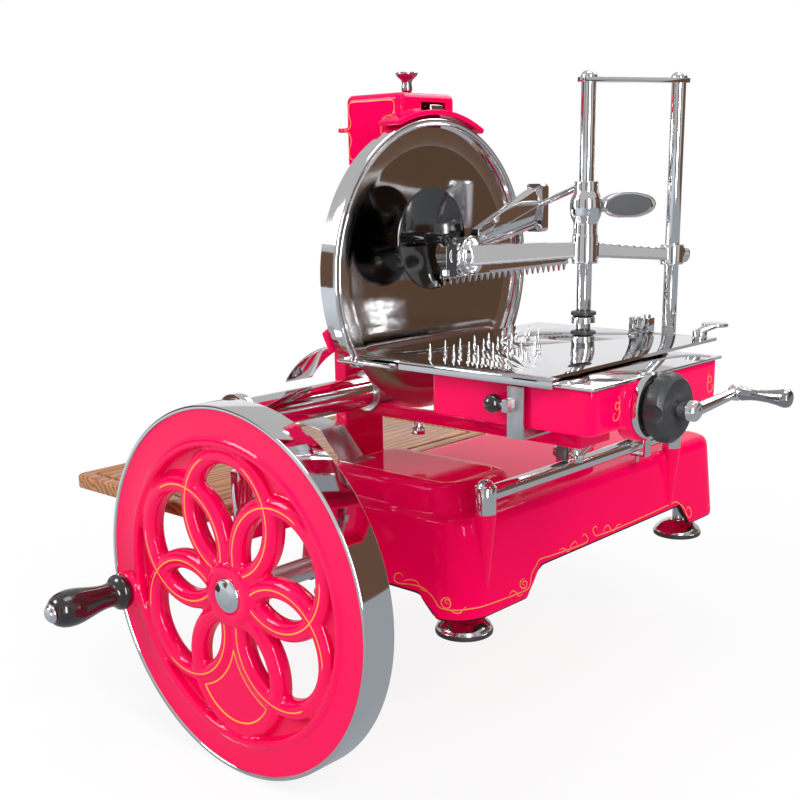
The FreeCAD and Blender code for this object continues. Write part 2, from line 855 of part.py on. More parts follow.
def spur_gear(teeth, module, x0, thick, y, z, bore, phase):
    r = module * teeth / 2
    step = 2 * math.pi / teeth
    rim = r + module * 0.85
    root = r - module * 1.15
    pts = []
    for i in range(teeth):
        a = i * step + phase
        for off, rad in ((-0.30, root), (-0.235, r - module * 0.4), (-0.11, rim), (0.11, rim),
                         (0.235, r - module * 0.4), (0.30, root)):
            ang = a + off * step
            pts.append(V(x0, rad * math.cos(ang), rad * math.sin(ang)))
    gear = face_of(pts).extrude(V(thick, 0, 0))
    gear = gear.cut(rod(V(x0 - 1, 0, 0), EX, bore, thick + 2))
    gear.translate(V(0, y, z))
    return gear


def gear_module():
    span = math.hypot(blade_y - cross_y, blade_z - chain_top())
    return 2 * span / (lay_teeth + blade_teeth)


def mesh_angle():
    """Direction from the lay shaft to the blade shaft in the Y-Z plane."""
    return math.atan2(blade_z - chain_top(), blade_y - cross_y)


def cross_shaft():
    x0 = chain_x - sprocket_t / 2 - 1
    pinion = bevel_module * bevel_teeth / 2
    return rod(V(x0, cross_y, wheel_z), EX, drive_shaft_r, wheel_x - pinion / 2 - x0 - 6)


def bevel_gears():
    half_step = 180 / bevel_teeth
    on_cross = bevel_gear(bevel_teeth, bevel_teeth, bevel_module, bevel_face, drive_shaft_r + run_gap, 10)
    on_cross.rotate(V(0, 0, 0), EZ, half_step)
    on_cross = placed(on_cross, V(wheel_x, cross_y, wheel_z), V(-1, 0, 0))
    on_shaft = bevel_gear(bevel_teeth, bevel_teeth, bevel_module, bevel_face, shaft_r + run_gap, 8)
    on_shaft = placed(on_shaft, V(wheel_x, cross_y, wheel_z), V(0, -1, 0))
    return on_cross, on_shaft


def lay_shaft():
    x0 = chain_x - sprocket_t / 2 - 1
    return rod(V(x0, cross_y, chain_top()), EX, drive_shaft_r, gear_x0 + gear_t + 2 - x0)


def blade_shaft():
    x0 = gear_x0 - 2
    shaft = rod(V(x0, blade_y, blade_z), EX, blade_shaft_r, blade_back - x0)
    flange = rod(V(blade_back - 6, blade_y, blade_z), EX, blade_flange_r, 6)
    return fuse([shaft, flange])


# ---------------------------------------------------------------- blade and its frame

def blade():
    """Dished disc: the bevel runs out to the edge and the middle of the face is hollow ground."""
    c = blade_r - blade_bevel
    face = blade_edge_x - blade_back
    low = face - blade_bevel_drop
    sphere_r = (c * c + blade_dish * blade_dish) / (2 * blade_dish)
    half_rise = sphere_r - math.sqrt(sphere_r * sphere_r - c * c / 4)
    p = [V(0, 0, 0), V(c, 0, 0), V(blade_r, 0, face - 0.6), V(blade_r, 0, face), V(c, 0, low)]
    edges = [Part.makeLine(p[i], p[i + 1]) for i in range(4)]
    middle = V(0, 0, low - blade_dish)
    edges.append(Part.Arc(p[4], V(c / 2, 0, low - blade_dish + half_rise), middle).toShape())
    edges.append(Part.makeLine(middle, p[0]))
    solid = Part.Face(Part.Wire(edges)).revolve(V(0, 0, 0), EZ, 360)
    return placed(solid, V(blade_back, blade_y, blade_z), EX)


def guard_ring():
    wide = ring_front - ring_back
    profile = [(ring_in, 0), (ring_out, 0), (ring_out, wide - ring_round), (ring_out - ring_round, wide),
               (ring_in + ring_round, wide), (ring_in, wide - ring_round)]
    ring = turned(profile, V(ring_back, blade_y, blade_z), EX)
    below = box(ring_back - 1, ring_front + 1, blade_y - ring_out - 1, blade_y + ring_out + 1,
                blade_z - ring_out - 1, ring_cut_z)
    return ring.cut(below)


def spoke(angle):
    length = ring_out - 2
    bar = Part.makeBox(arm_t, length, arm_w, V(0, 0, -arm_w / 2))
    bar.rotate(V(0, 0, 0), EX, angle)
    bar.translate(V(ring_back - arm_t, blade_y, blade_z))
    return bar


def blade_frame():
    top = chain_top()
    r = column_half_y
    column = box(column_x0, column_x1, cross_y - r, cross_y + r, deck_z, top)
    dome = rod(V(column_x0, cross_y, top), EX, r, column_x1 - column_x0)
    foot = box(column_x0, column_x1 + 4, cross_y - r - 8, cross_y + r + 8, deck_z, deck_z + 12)
    neck_half = 24
    neck = box(column_x1 - 1, case_x0 + 1, cross_y - neck_half, cross_y + neck_half, top - 26, top + 26)
    case = rounded_case(case_x0, case_x1, case_y0, case_y1, case_z0, case_z1, 34)
    head = rounded_case(case_x1 - 1, head_x1, case_y0, head_y1, head_z0, case_z1, 16)
    disc = rod(V(head_x1 - 1, blade_y, blade_z), EX, 44, ring_back - head_x1 + 1)
    arms = [spoke(a) for a in (80, 205, 330)]
    body = column.fuse([dome, foot, neck, case, head, disc] + arms)
    w = column_wall
    chain_room = box(column_x0 + w, column_x1 - w, cross_y - r + w, cross_y + r - w, deck_z - 1, top)
    chain_head = rod(V(column_x0 + w, cross_y, top), EX, r - w, column_x1 - column_x0 - 2 * w)
    c = case_wall
    gear_room = rounded_case(case_x0 + c, case_x1 - c, case_y0 + c, case_y1 - c, case_z0 + c, case_z1 - c, 28)
    lay_bore = rod(V(column_x0 + w, cross_y, top), EX, drive_shaft_r + run_gap,
                   case_x0 + c - column_x0 - w + 1)
    blade_bore = rod(V(case_x1 - c - 1, blade_y, blade_z), EX, blade_shaft_r + run_gap,
                     ring_back - case_x1 + c + 3)
    # the gear room opens at the back under a cover that is cast in
    body = body.cut([chain_room, chain_head, gear_room, lay_bore, blade_bore])
    return body.removeSplitter()


def rounded_case(x0, x1, y0, y1, z0, z1, r):
    """Box along X with corners rounded in the Y-Z plane."""
    flat = rounded_rect(-z1, -z0, y0, y1, 0, r)
    solid = Part.Face(flat).extrude(V(0, 0, x1 - x0))
    out = solid.copy()
    out.rotate(V(0, 0, 0), EY, 90)
    out.translate(V(x0, 0, 0))
    return out


def slice_deflector():
    t = chute_t
    y0 = case_y0 - t
    a = chute_left + EY * y0
    m = chute_mid + EY * y0
    b = V(ring_back - 4, y0, chute_top_z)
    outer = Part.Arc(a, m, b).toShape()
    drop = V(0, 0, -t)
    inner = Part.Arc(b + drop, m + drop, a + drop).toShape()
    loop = Part.Wire([outer, Part.makeLine(b, b + drop), inner, Part.makeLine(a + drop, a)])
    sheet = Part.Face(loop).extrude(V(0, -chute_wide, 0))
    tab = box(chute_tab_x0, chute_tab_x1, y0, case_y0, case_z0, head_z0 + 14)
    return fuse([sheet, tab])


def drip_plate():
    t = drip_t
    z = dome_z
    pts = [V(drip_in_x, 0, z), V(drip_in_x, 0, z + t), V(drip_bend_x, 0, z + t), V(drip_low_x, 0, drip_low_z),
           V(drip_out_x, 0, drip_out_z), V(drip_out_x, 0, drip_out_z - t), V(drip_low_x - 1, 0,
                                                                             drip_low_z - t),
           V(drip_bend_x - 0.5, 0, z)]
    y0 = dome_y0 + dome_draft + dome_round
    y1 = cross_y - column_half_y - 8 - slide_gap
    sheet = face_of(pts).extrude(V(0, y1 - y0, 0))
    sheet.translate(V(0, y0, 0))
    return sheet


def slice_board():
    board = rounded_box(board_x0, board_x1, board_y0, board_y1, board_z0, board_z1, board_edge_r, 4)
    g = groove_in
    h = groove_in + groove_w
    floor = board_z1 - groove_deep
    outer = rounded_box(board_x0 + g, board_x1 - g, board_y0 + g, board_y1 - g, floor, board_z1 + 1,
                        board_edge_r, 0)
    inner = rounded_box(board_x0 + h, board_x1 - h, board_y0 + h, board_y1 - h, floor - 1, board_z1 + 2,
                        board_edge_r - groove_w, 0)
    return board.cut(outer.cut(inner))


# ---------------------------------------------------------------- sharpener

def sharpener_box():
    low = rounded_box(sharp_x0, sharp_low_x1, sharp_y0, sharp_y1, sharp_z0, sharp_z1, sharp_round, 0)
    high = rounded_box(sharp_x0, sharp_x1, sharp_y0, sharp_y1, sharp_shelf, sharp_z1, sharp_round,
                       sharp_round - 1)
    lip = box(sharp_x0 - sharp_lip, sharp_x0 + 3, sharp_y0, sharp_y1 - 30, sharp_lip_z,
              sharp_lip_z + sharp_lip_t)
    outer = low.common(box(sharp_x0, sharp_x1, sharp_y0, sharp_y1, sharp_z0, sharp_shelf)).fuse([high, lip])
    w = sharp_wall
    room_low = box(sharp_x0 + w, sharp_low_x1 - w, sharp_y0 + w, sharp_y1 - w, sharp_z0 - 1, sharp_shelf + 1)
    room_high = box(sharp_x0 + w, sharp_x1 - w, sharp_y0 + w, sharp_y1 - w, sharp_shelf + w, sharp_z1 - w)
    window = box(sharp_x1 - w - 2, sharp_x1 + 2, window_y0, window_y1, window_z0 + w, window_z1)
    body = outer.cut([room_low, room_high, window])
    # curved hood that covers the top of the guard ring
    r = ring_out + 2.5
    hood = turned_ring(r, r + hood_t, V(sharp_x1 - 12, blade_y, blade_z), EX, hood_deep + 12)
    a0, a1 = math.radians(hood_from), math.radians(hood_to)
    far = r + 60
    wedge = face_of([V(sharp_x1 - 20, blade_y, blade_z),
                     V(sharp_x1 - 20, blade_y + far * math.cos(a0), blade_z + far * math.sin(a0)),
                     V(sharp_x1 - 20, blade_y, blade_z + far * 1.2),
                     V(sharp_x1 - 20, blade_y + far * math.cos(a1), blade_z + far * math.sin(a1))])
    hood = hood.common(wedge.extrude(V(hood_deep + 30, 0, 0)))
    body = body.fuse(hood).cut([room_high, window])
    stem = rod(V(knob_x, blade_y, sharp_z1 - 2 * w), EZ, knob_stem_r + run_gap, 3 * w)
    body = body.cut(stem)
    k = stone_boss
    bracket = box(sharp_x0 + w - 1, sharp_x0 + w + k, stone_y - k, stone_y + k, stone_z - k, sharp_shelf + 2)
    pivot = rod(V(sharp_x0 + w, stone_y, stone_z), EX, stone_shaft_r + run_gap, 20)
    body = body.fuse(bracket).cut(pivot)
    # neck that stands on the blade frame behind the ring
    neck = box(sharp_x0 + 6, sharp_x0 + 30, sharp_y1 - 44, sharp_y1, case_z1, sharp_z0 + 6)
    return body.fuse(neck).removeSplitter()


def sharpener_knob():
    z0 = sharp_z1 - 2 * sharp_wall - 4
    top = sharp_z1 + 8 + knob_h - 8
    p = [(0, z0), (knob_stem_r + 2, z0), (knob_stem_r + 2, z0 + 3), (knob_stem_r, z0 + 3),
         (knob_stem_r, sharp_z1 + 6), (knob_stem_r - 1, top - 8), (knob_r - 1, top - 3), (knob_r, top - 1),
         (knob_r - 2, top), (0, top)]
    return turned(p, V(knob_x, blade_y, 0), EZ)


def sharpener_lever():
    x0 = sharp_x1 - sharp_wall - 14
    arm = box(x0, x0 + 16, window_y0 + 18, window_y1 - 2, window_z0 + sharp_wall + 0.5, window_z1 - 1.5)
    return arm.makeFillet(2, [e for e in arm.Edges if abs(e.Vertexes[0].Point.x - x0 - 16) < 0.01
                              and abs(e.Vertexes[-1].Point.x - x0 - 16) < 0.01])


def sharpening_stone():
    base = V(sharp_x0 + sharp_wall + 0.5, stone_y, stone_z)
    shaft = rod(base, EX, stone_shaft_r, 50)
    disc = rod(V(12, stone_y, stone_z), EX, stone_r, stone_t)
    return fuse([shaft, disc])


# ---------------------------------------------------------------- carriage

def carriage_casting():
    tray = rounded_box(tray_x0, tray_x1, tray_y0, tray_y1, tray_z0, tray_z1, tray_round, 0)
    boss = rod(V(tray_x1 - 14, screw_y, screw_z), EX, boss_r, boss_x1 - tray_x1 + 14)
    boss = boss.cut(box(tray_x1 - 20, boss_x1 + 1, tray_y0, tray_y1, tray_z1, tray_z1 + 30))
    wing = box(wing_x0, tray_x0 + 44, wing_y0, wing_y1, wing_z0, wing_z1)
    saddle_r = bar_r + shoe_wall + run_gap
    wing = wing.cut(rod(V(bar_x, wing_y0 - 1, bar_z), EY, saddle_r, wing_y1 - wing_y0 + 2))
    web = box(tray_x0 - 4, tray_x0 + 44, wing_y0, wing_y0 + 26, wing_z1 - 1, tray_z0 + 1)
    rail = box(rail_x0, rail_x1, wing_y0, rail_y1, rail_z0, tray_z0 - 10)
    rail_top = box(rail_x0, rail_x1, wing_y0, tray_y1, tray_z0 - 11, tray_z0 + 1)
    body = tray.fuse([boss, wing, web, rail, rail_top])
    w = tray_wall
    room = box(tray_x0 + w, tray_x1 - w, tray_y0 + w, tray_y1 - w, tray_z0 - 1, tray_z1 - w)
    room = room.cut(box(tray_x0, tray_x0 + 46, wing_y0 - 1, tray_y1, tray_z0 - 2, tray_z0 + 6))
    slot = box(nut_x - 25 - nut_half - 8, nut_x + 45 + nut_half + 8, screw_y - nut_side - 3,
               screw_y + nut_side + 3,
               tray_z1 - w - 1, tray_z1 + 1)
    bore = rod(V(tray_x1 - w - 8, screw_y, screw_z), EX, screw_r + run_gap, 40)
    end_bore = rod(V(screw_x0 - 0.5, screw_y, screw_z), EX, screw_r + run_gap, tray_wall)
    body = body.cut([room, slot, bore, end_bore])
    return body.removeSplitter()


def carriage_shoe():
    ring = turned_ring(bar_r + run_gap, bar_r + shoe_wall, V(bar_x, wing_y0, bar_z), EY, wing_y1 - wing_y0)
    return ring.cut(box(bar_x - 60, shoe_left, wing_y0 - 1, wing_y1 + 1, bar_z - 40, bar_z + 40))


def hex_bolt(at, axis, across, head, shank_r, shank):
    r = across / math.sqrt(3)
    pts = [V(r * math.cos(math.radians(60 * i)), r * math.sin(math.radians(60 * i)), 0) for i in range(6)]
    body = face_of(pts).extrude(V(0, 0, head))
    body = body.fuse(rod(V(0, 0, head - 0.5), EZ, shank_r, shank + 0.5))
    return placed(body, at, axis)


def carriage_bolts():
    bolts = []
    for x in (bolt_left_x, bolt_right_x):
        at = V(x, (wing_y0 + wing_y1) / 2, wing_z0)
        washer = rod(at - V(0, 0, 2), EZ, 11, 2)
        body = hex_bolt(at - V(0, 0, 24), EZ, 17, 9, 6, 13.5)
        bolts.append(washer.fuse(body).removeSplitter())
    return bolts


def roller_z():
    return rod_z + rod_r + roller_r + face_gap


def roller(y):
    z = roller_z()
    half = roller_w / 2
    low = roller_r - roller_edge
    p = [(roller_pin_r + run_gap, -half), (low, -half), (roller_r, -half + roller_edge),
         (roller_r, half - roller_edge), (low, half), (roller_pin_r + run_gap, half)]
    profile = [(r, h + half) for r, h in p]
    return turned(profile, V(rod_x - half, y, z), EX)


def strut_plate(y0, y1):
    """Leaning leg from the carriage rail down to a roller pin."""
    z = roller_z()
    x = rod_x + roller_w / 2 + 1.5
    out = rail_x1 + 10
    pts = [V(x, y0, z - 9), V(x + 9, y0, z - 9), V(out, y0, rail_z0 - 5), V(out, y0, rail_z0 + 30),
           V(rail_x1, y0, rail_z0 + 30), V(rail_x1, y0, rail_z0), V(rail_x0 + 4, y0, rail_z0), V(x, y0,
                                                                                                 z + 10)]
    return face_of(pts).extrude(V(0, y1 - y0, 0))


def roller_leg(y):
    z = roller_z()
    half = strut_w / 2
    leg = strut_plate(y - half, y + half)
    pin = rod(V(rod_x - roller_w / 2 - 1.5, y, z), EX, roller_pin_r, roller_w + 6)
    head = rod(V(rod_x - roller_w / 2 - 5.5, y, z), EX, roller_pin_r + 3, 4)
    return fuse([leg, pin, head])


def hook():
    """Bent strip that reaches under the rod so that the carriage can't lift."""
    z = roller_z()
    y0 = rear_roller_y + strut_w / 2
    y1 = y0 + 14
    low = rod_z - rod_r - 1.2
    x = rod_x + roller_w / 2 + 1.5
    t = 3.0
    pts = [V(x + 8, y0, z + 6), V(x + 8 + t, y0, z + 6), V(x + 8 + t, y0, low - t), V(rod_x - 3, y0, low - t),
           V(rod_x - 3, y0, low), V(x + 8, y0, low)]
    strip = face_of(pts).extrude(V(0, y1 - y0, 0))
    link = box(x, x + 8 + t, y0 - 2, y1, z - 7, z + 8)
    screw = rod(V(rod_x + 4, (y0 + y1) / 2, low - t - 9), EZ, 2.5, 10)
    return fuse([strip, link, screw])


def carriage_bracket():
    return fuse([roller_leg(rear_roller_y), hook()])


def carriage_plate():
    z0 = tray_z1
    z1 = z0 + plate_thick
    main = box(plate_x0, tray_x1 + 2, tray_y0 - 2, tray_y1 + 2, z0, z1)
    front = box(plate_x0, plate_step_x, plate_front, tray_y0, z0, z1)
    rear = box(plate_x0, tray_x0 + 20, tray_y1, tray_y1 + 60, z0, z1)
    plate = main.fuse([front, rear])
    slot = box(nut_x - 25 - nut_half - 6, nut_x + 45 + nut_half + 6, screw_y - nut_side - 2,
               screw_y + nut_side + 2,
               z0 - 1, z1 + 1)
    return plate.cut(slot).removeSplitter()


def dial_bezel():
    x0 = boss_x1
    p = [(screw_r + 1, 0), (bezel_r, 0), (bezel_r, bezel_t - 1), (bezel_r - 1, bezel_t),
         (bezel_in_r, bezel_t),
         (bezel_in_r, 3), (screw_r + 1, 3)]
    return turned(p, V(x0, screw_y, screw_z), EX)


def thickness_dial():
    x0 = dial_x0
    bore = screw_r + run_gap
    neck = turned([(bore, boss_x1 + 3.5 - x0), (dial_neck_r - 1, boss_x1 + 3.5 - x0), (dial_neck_r - 1, 1),
                   (dial_neck_r, 1), (dial_neck_r, 6), (bore, 6)], V(0, 0, 0), EZ)
    p = [(bore, 4), (dial_r - 3, 4), (dial_r, 8), (dial_r, dial_t - 5), (dial_r - 5, dial_t), (bore, dial_t)]
    body = turned(p, V(0, 0, 0), EZ).fuse(neck)
    scoops = []
    for i in range(dial_lobes):
        a = math.radians(30 + 360 / dial_lobes * i)
        far = dial_r + dial_lobe_r * 0.45
        scoops.append(rod(V(far * math.cos(a), far * math.sin(a), 3), EZ, dial_lobe_r, dial_t))
    body = body.cut(scoops).removeSplitter()
    return placed(body, V(x0, screw_y, screw_z), EX)


def lead_screw():
    return rod(V(screw_x0, screw_y, screw_z), EX, screw_r, crank_x - screw_x0 - 4)


def feed_crank():
    hub = rod(V(crank_x - 8, screw_y, screw_z), EX, crank_hub_r - 1, 10)
    cap = turned([(0, 0), (crank_hub_r + 1, 0), (crank_hub_r + 1, 8), (crank_hub_r - 2, 11), (0, 11)],
                 V(crank_x + 1, screw_y, screw_z), EX)
    hub = hub.cut(rod(V(crank_x - 9, screw_y, screw_z), EX, screw_r + run_gap, 6))
    start = V(crank_x + 6, screw_y, screw_z)
    end = crank_pin_at()
    d = end - start
    arm = Part.makeCone(crank_r + 0.5, crank_r - 1, d.Length, start, d)
    knuckle = turned([(0, 0), (crank_r, 0), (crank_r + 2, 3), (crank_r + 2, 2 * crank_r - 3),
                      (crank_r, 2 * crank_r),
                      (0, 2 * crank_r)], end - EX * crank_r, EX)
    pin = rod(end, EX, crank_pin_r, crank_grip_len + crank_r - 2.5)
    return fuse([hub, cap, arm, knuckle, pin])


def crank_pin_at():
    return V(crank_x + 13, screw_y + crank_reach, screw_z + 8)


def crank_grip():
    long = crank_grip_len
    r = crank_grip_r
    c = crank_pin_r + run_gap
    profile = [(c, 0), (r - 1, 0), (r - 2.6, long * 0.3), (r - 1.5, long * 0.6), (r + 1, long - 9),
               (r + 0.4, long - 4), (r - 3, long), (0, long), (0, long - 2), (c, long - 2)]
    solid = turned(profile, V(0, 0, 0), EZ)
    return placed(solid, crank_pin_at() + EX * (crank_r + 0.5), EX)


def release_strap():
    x0, x1 = strap_x0, strap_x1
    y0, y1 = strap_y0, strap_y1
    t = strap_t
    z_low = tray_z0 - strap_low
    high = table_top - lip_drop - 3
    ceiling = tray_z1 - tray_wall - face_gap
    pts = [V(x0, y0, high), V(x0, y0 + t, high), V(x0, y0 + t, z_low + t), V(x0, y1, z_low + t),
           V(x0, y1, ceiling), V(x0, y1 + t, ceiling), V(x0, y1 + t, z_low), V(x0, y0, z_low)]
    strap = face_of(pts).extrude(V(x1 - x0, 0, 0))
    pin = rod(knob_at() + EX * 20, V(-1, 0, 0), knob_pin_r, 16)
    lug = box(x0 + 1, x0 + 9, knob_at().y - 5, y0 + 1, knob_at().z - 6, knob_at().z + 6)
    return fuse([strap, pin, lug])


def knob_at():
    """Centre of the ball knob."""
    return V(knob_x0, knob_y0, knob_z0)


def ball_knob():
    ball = Part.makeSphere(ball_r, knob_at())
    return ball.cut(rod(knob_at() + EX * 20, V(-1, 0, 0), knob_pin_r + 2 * run_gap, 16.5))


# ---------------------------------------------------------------- meat table and clamp

def meat_table():
    z0 = table_top - table_t
    plate = box(table_x0, table_x1, table_y0, table_y1, z0, table_top)
    lip = box(lip_x0, lip_x1, lip_y0, table_y0 + 1, table_top - lip_drop, table_top)
    lip = lip.cut(box(lip_x0 - 1, lip_x1 + 1, lip_y0 + table_t, table_y0 + 2, table_top - lip_drop - 1, z0))
    lip = lip.makeFillet(3, [e for e in lip.Edges if abs(e.Length - (lip_x1 - lip_x0)) < 0.01
                             and abs(e.Vertexes[0].Point.y - lip_y0) < 0.01
                             and abs(e.Vertexes[0].Point.z - table_top) < 0.01])
    nut = box(nut_x - nut_half, nut_x + nut_half, screw_y - nut_side, screw_y + nut_side, screw_z - 9,
              z0 + 0.5)
    runners = []
    for y in (table_y0 + 20, tray_y1 - 20):
        runners.append(box(table_x0 + 12, table_x1 - 8, y, y + 10, tray_z1 + plate_thick + 0.2, z0 + 0.5))
    body = plate.fuse([lip, nut] + runners)
    body = body.cut(rod(V(nut_x - nut_half - 1, screw_y, screw_z), EX, screw_r + run_gap, 2 * nut_half + 2))
    for c in (col_a, col_b):
        body = body.cut(rod(V(c.x, c.y, z0 - 1), EZ, col_r - 1.5 + run_gap, table_t + 2))
    for at in pin_places():
        body = body.cut(rod(V(at.x, at.y, z0 - 1), EZ, pin_r - 0.5 + run_gap, table_t + 2))
    return body.removeSplitter()


def pin_places():
    places = []
    for x, y, count in pin_rows:
        for i in range(count):
            places.append(V(x, y + pin_pitch * i, 0))
    return places


def table_pins():
    z0 = table_top - table_t
    pins = []
    for at in pin_places():
        profile = [(0, 0), (pin_r - 0.5, 0), (pin_r - 0.5, table_t), (pin_r, table_t), (0.3, table_t + pin_h),
                   (0, table_t + pin_h)]
        pins.append(turned(profile, V(at.x, at.y, z0), EZ))
    return pins


def clamp_columns():
    z0 = table_top - table_t
    solids = []
    for c in (col_a, col_b):
        h = table_top
        top = col_top + cross_t + 0.5
        p = [(0, z0), (col_r - 1.5, z0), (col_r - 1.5, h), (col_r, h), (col_r, col_top), (col_r - 3, col_top),
             (col_r - 3, top), (0, top)]
        solids.append(turned(p, V(c.x, c.y, 0), EZ))
    for z in (table_top, table_top + collar_rise):
        solids.append(collar(V(col_a.x, col_a.y, z)))
    return solids


def collar(at):
    c = col_r + run_gap
    p = [(c, 0), (col_collar_r, 0), (col_collar_r, collar_h - 2), (col_r + 2, collar_h), (c, collar_h)]
    return turned(p, at, EZ)


def col_direction():
    d = col_b - col_a
    d.normalize()
    return d


def column_crossbar():
    d = col_direction()
    span = (col_b - col_a).Length
    bar = Part.makeBox(span + 2 * 10, cross_w, cross_t, V(-10, -cross_w / 2, col_top))
    angle = math.degrees(math.atan2(d.y, d.x))
    bar.rotate(V(0, 0, 0), EZ, angle)
    bar.translate(col_a)
    caps = []
    for c in (col_a, col_b):
        top = col_top + cross_t
        r = col_r + 1
        caps.append(turned([(0, 0), (r, 0), (r, 2), (r - 1.5, 4.5), (r - 4, 6.5), (0, 7)],
                           V(c.x, c.y, top - 0.5), EZ))
    bar = bar.fuse(caps)
    for c in (col_a, col_b):
        bar = bar.cut(rod(V(c.x, c.y, col_top - 1), EZ, col_r - 3 + run_gap, cross_t + 1.6))
    return bar.removeSplitter()


def clamp_bore(c, z0, z1):
    return rod(V(c.x, c.y, z0), EZ, col_r + run_gap, z1 - z0)


def tapered_bar(p, q, w0, h0, w1, h1):
    """Loft between two upright rectangles that face along p to q."""
    d = q - p
    d.z = 0
    d.normalize()
    n = V(-d.y, d.x, 0)
    wires = []
    for at, w, h in ((p, w0, h0), (q, w1, h1)):
        pts = [at + n * (w / 2) + EZ * (h / 2), at - n * (w / 2) + EZ * (h / 2),
               at - n * (w / 2) - EZ * (h / 2), at + n * (w / 2) - EZ * (h / 2)]
        wires.append(Part.makePolygon(pts + [pts[0]]))
    return Part.makeLoft(wires, True, True)


def clamp_beam():
    a = V(col_a.x, col_a.y, arm_z)
    return tapered_bar(a, V(hub_x, hub_y, arm_z - hub_drop), 22, 16, 30, 24)


def comb_carrier():
    y0 = comb_y0 + carrier_y0
    return box(comb_x - 2, comb_x + 14, y0, y0 + carrier_len, comb_z0 + 2, arm_z + 6)


def clamp_arm():
    d = col_direction()
    side = V(d.y, -d.x, 0)
    z = arm_z
    a = V(col_a.x, col_a.y, z)
    b = V(col_b.x, col_b.y, z - boss_b_drop)
    low = z - boss_h / 2
    boss_a = rod(V(col_a.x, col_a.y, low), EZ, 14, boss_h)
    tower = rod(V(col_a.x, col_a.y, low + boss_h - 1), EZ, tower_r, tower_h)
    swell = turned([(0, -17), (tower_r, -17), (swell_r - 1, -9), (swell_r, 0), (swell_r - 1, 9),
                    (tower_r, 17), (0, 17)],
                   V(col_a.x, col_a.y, z + lever_rise - 1), EZ)
    boss_b = rod(V(col_b.x, col_b.y, z - boss_b_drop - 11), EZ, 13, 22)
    ring_face = rod(V(col_b.x, col_b.y, z - boss_b_drop) + d * 8, d, 10, 10)
    link = tapered_bar(a, b, 20, 16, 15, 13)
    hub = V(hub_x, hub_y, z - hub_drop)
    beam = clamp_beam()
    r = arm_hub_r
    ball = turned([(0, -20), (r * 0.45, -18), (r * 0.8, -13), (r * 0.8, -11), (r, -10), (r, -6),
                   (r * 0.88, -5),
                   (r * 0.94, 4), (r * 0.75, 13), (r * 0.4, 18), (0, 19)], hub, V(-1, 0, 0))
    # carrier of the comb, parallel to the blade
    carrier = comb_carrier()
    shelf = tapered_bar(V(comb_x + 4, comb_y0 + 30, comb_z0 + 14), V(comb_x + 4, comb_y1 - 70, comb_z0 + 9),
                        10, 24, 8, 13)
    body = boss_a.fuse([tower, swell, boss_b, ring_face, link, beam, ball, carrier, shelf])
    body = body.cut(box(disc_x - 30, comb_x - 2, comb_y0 - 60, comb_y1, z - 60, z + 60))
    body = body.cut([clamp_bore(col_a, low - 10, z + 90), clamp_bore(col_b, z - 60, z + 60)])
    half = lever_neck / 2 + 0.4
    slot = box(-6.5, 60, -half, half, -9, 9)
    slot.rotate(V(0, 0, 0), EZ, math.degrees(math.atan2(d.y, d.x)))
    slot.translate(lever_pivot())
    hole = rod(lever_pivot() - side * 30, side, lever_pin_r + run_gap, 60)
    return body.cut([slot, hole]).removeSplitter()


def lever_pivot():
    return V(col_a.x, col_a.y, arm_z + lever_rise) + col_direction() * 14


def clamp_lever():
    """Squeeze grip with an oval handle, hinged in the tower of the clamp."""
    d = col_direction()
    side = V(d.y, -d.x, 0)
    at = lever_pivot()
    start = at - d * 3.5
    neck = tapered_bar(start, start + d * 22, lever_neck, 14, lever_neck - 2, 12)
    pin = rod(at - side * 9.5, side, lever_pin_r, 19)
    holder = oval_slab(grip_oval_half, grip_oval_high, grip_oval_t)
    holder = holder.makeFillet(2.5, holder.Edges)
    face = oval_slab(grip_oval_half - 5, grip_oval_high - 3, grip_oval_t + 3)
    face = face.makeFillet(1, face.Edges)
    face.translate(V(-3, 0, 0))
    oval = holder.fuse(face)
    oval.rotate(V(0, 0, 0), EZ, math.degrees(math.atan2(d.y, d.x)))
    oval.translate(V(at.x, at.y, at.z) + d * (grip_oval_from + grip_oval_half))
    return fuse([neck, oval, pin])


def oval_slab(half, high, thick):
    """Flat oval plate along +X, standing on edge, with its middle at the origin."""
    curve = Part.Ellipse(V(0, 0, 0), half, high)
    flat = Part.Face(Part.Wire(curve.toShape()))
    solid = flat.extrude(V(0, 0, thick))
    solid.translate(V(0, 0, -thick / 2))
    solid.rotate(V(0, 0, 0), EX, 90)
    return solid


def comb():
    blade_bar = box(comb_x - 2 - comb_t, comb_x - 2, comb_y0, comb_y1, comb_z0, comb_z0 + comb_bar_h)
    pitch = (comb_y1 - comb_y0) / comb_teeth
    teeth = []
    for i in range(comb_teeth):
        y = comb_y0 + pitch * (i + 0.5)
        x = comb_x - 2 - comb_t
        pts = [V(x, y - pitch * 0.3, comb_z0 + 0.5), V(x, y, comb_z0 - tooth_len),
               V(x, y + pitch * 0.3, comb_z0 + 0.5)]
        teeth.append(face_of(pts).extrude(V(comb_t * 0.6, 0, 0)))
    return fuse([blade_bar] + teeth)


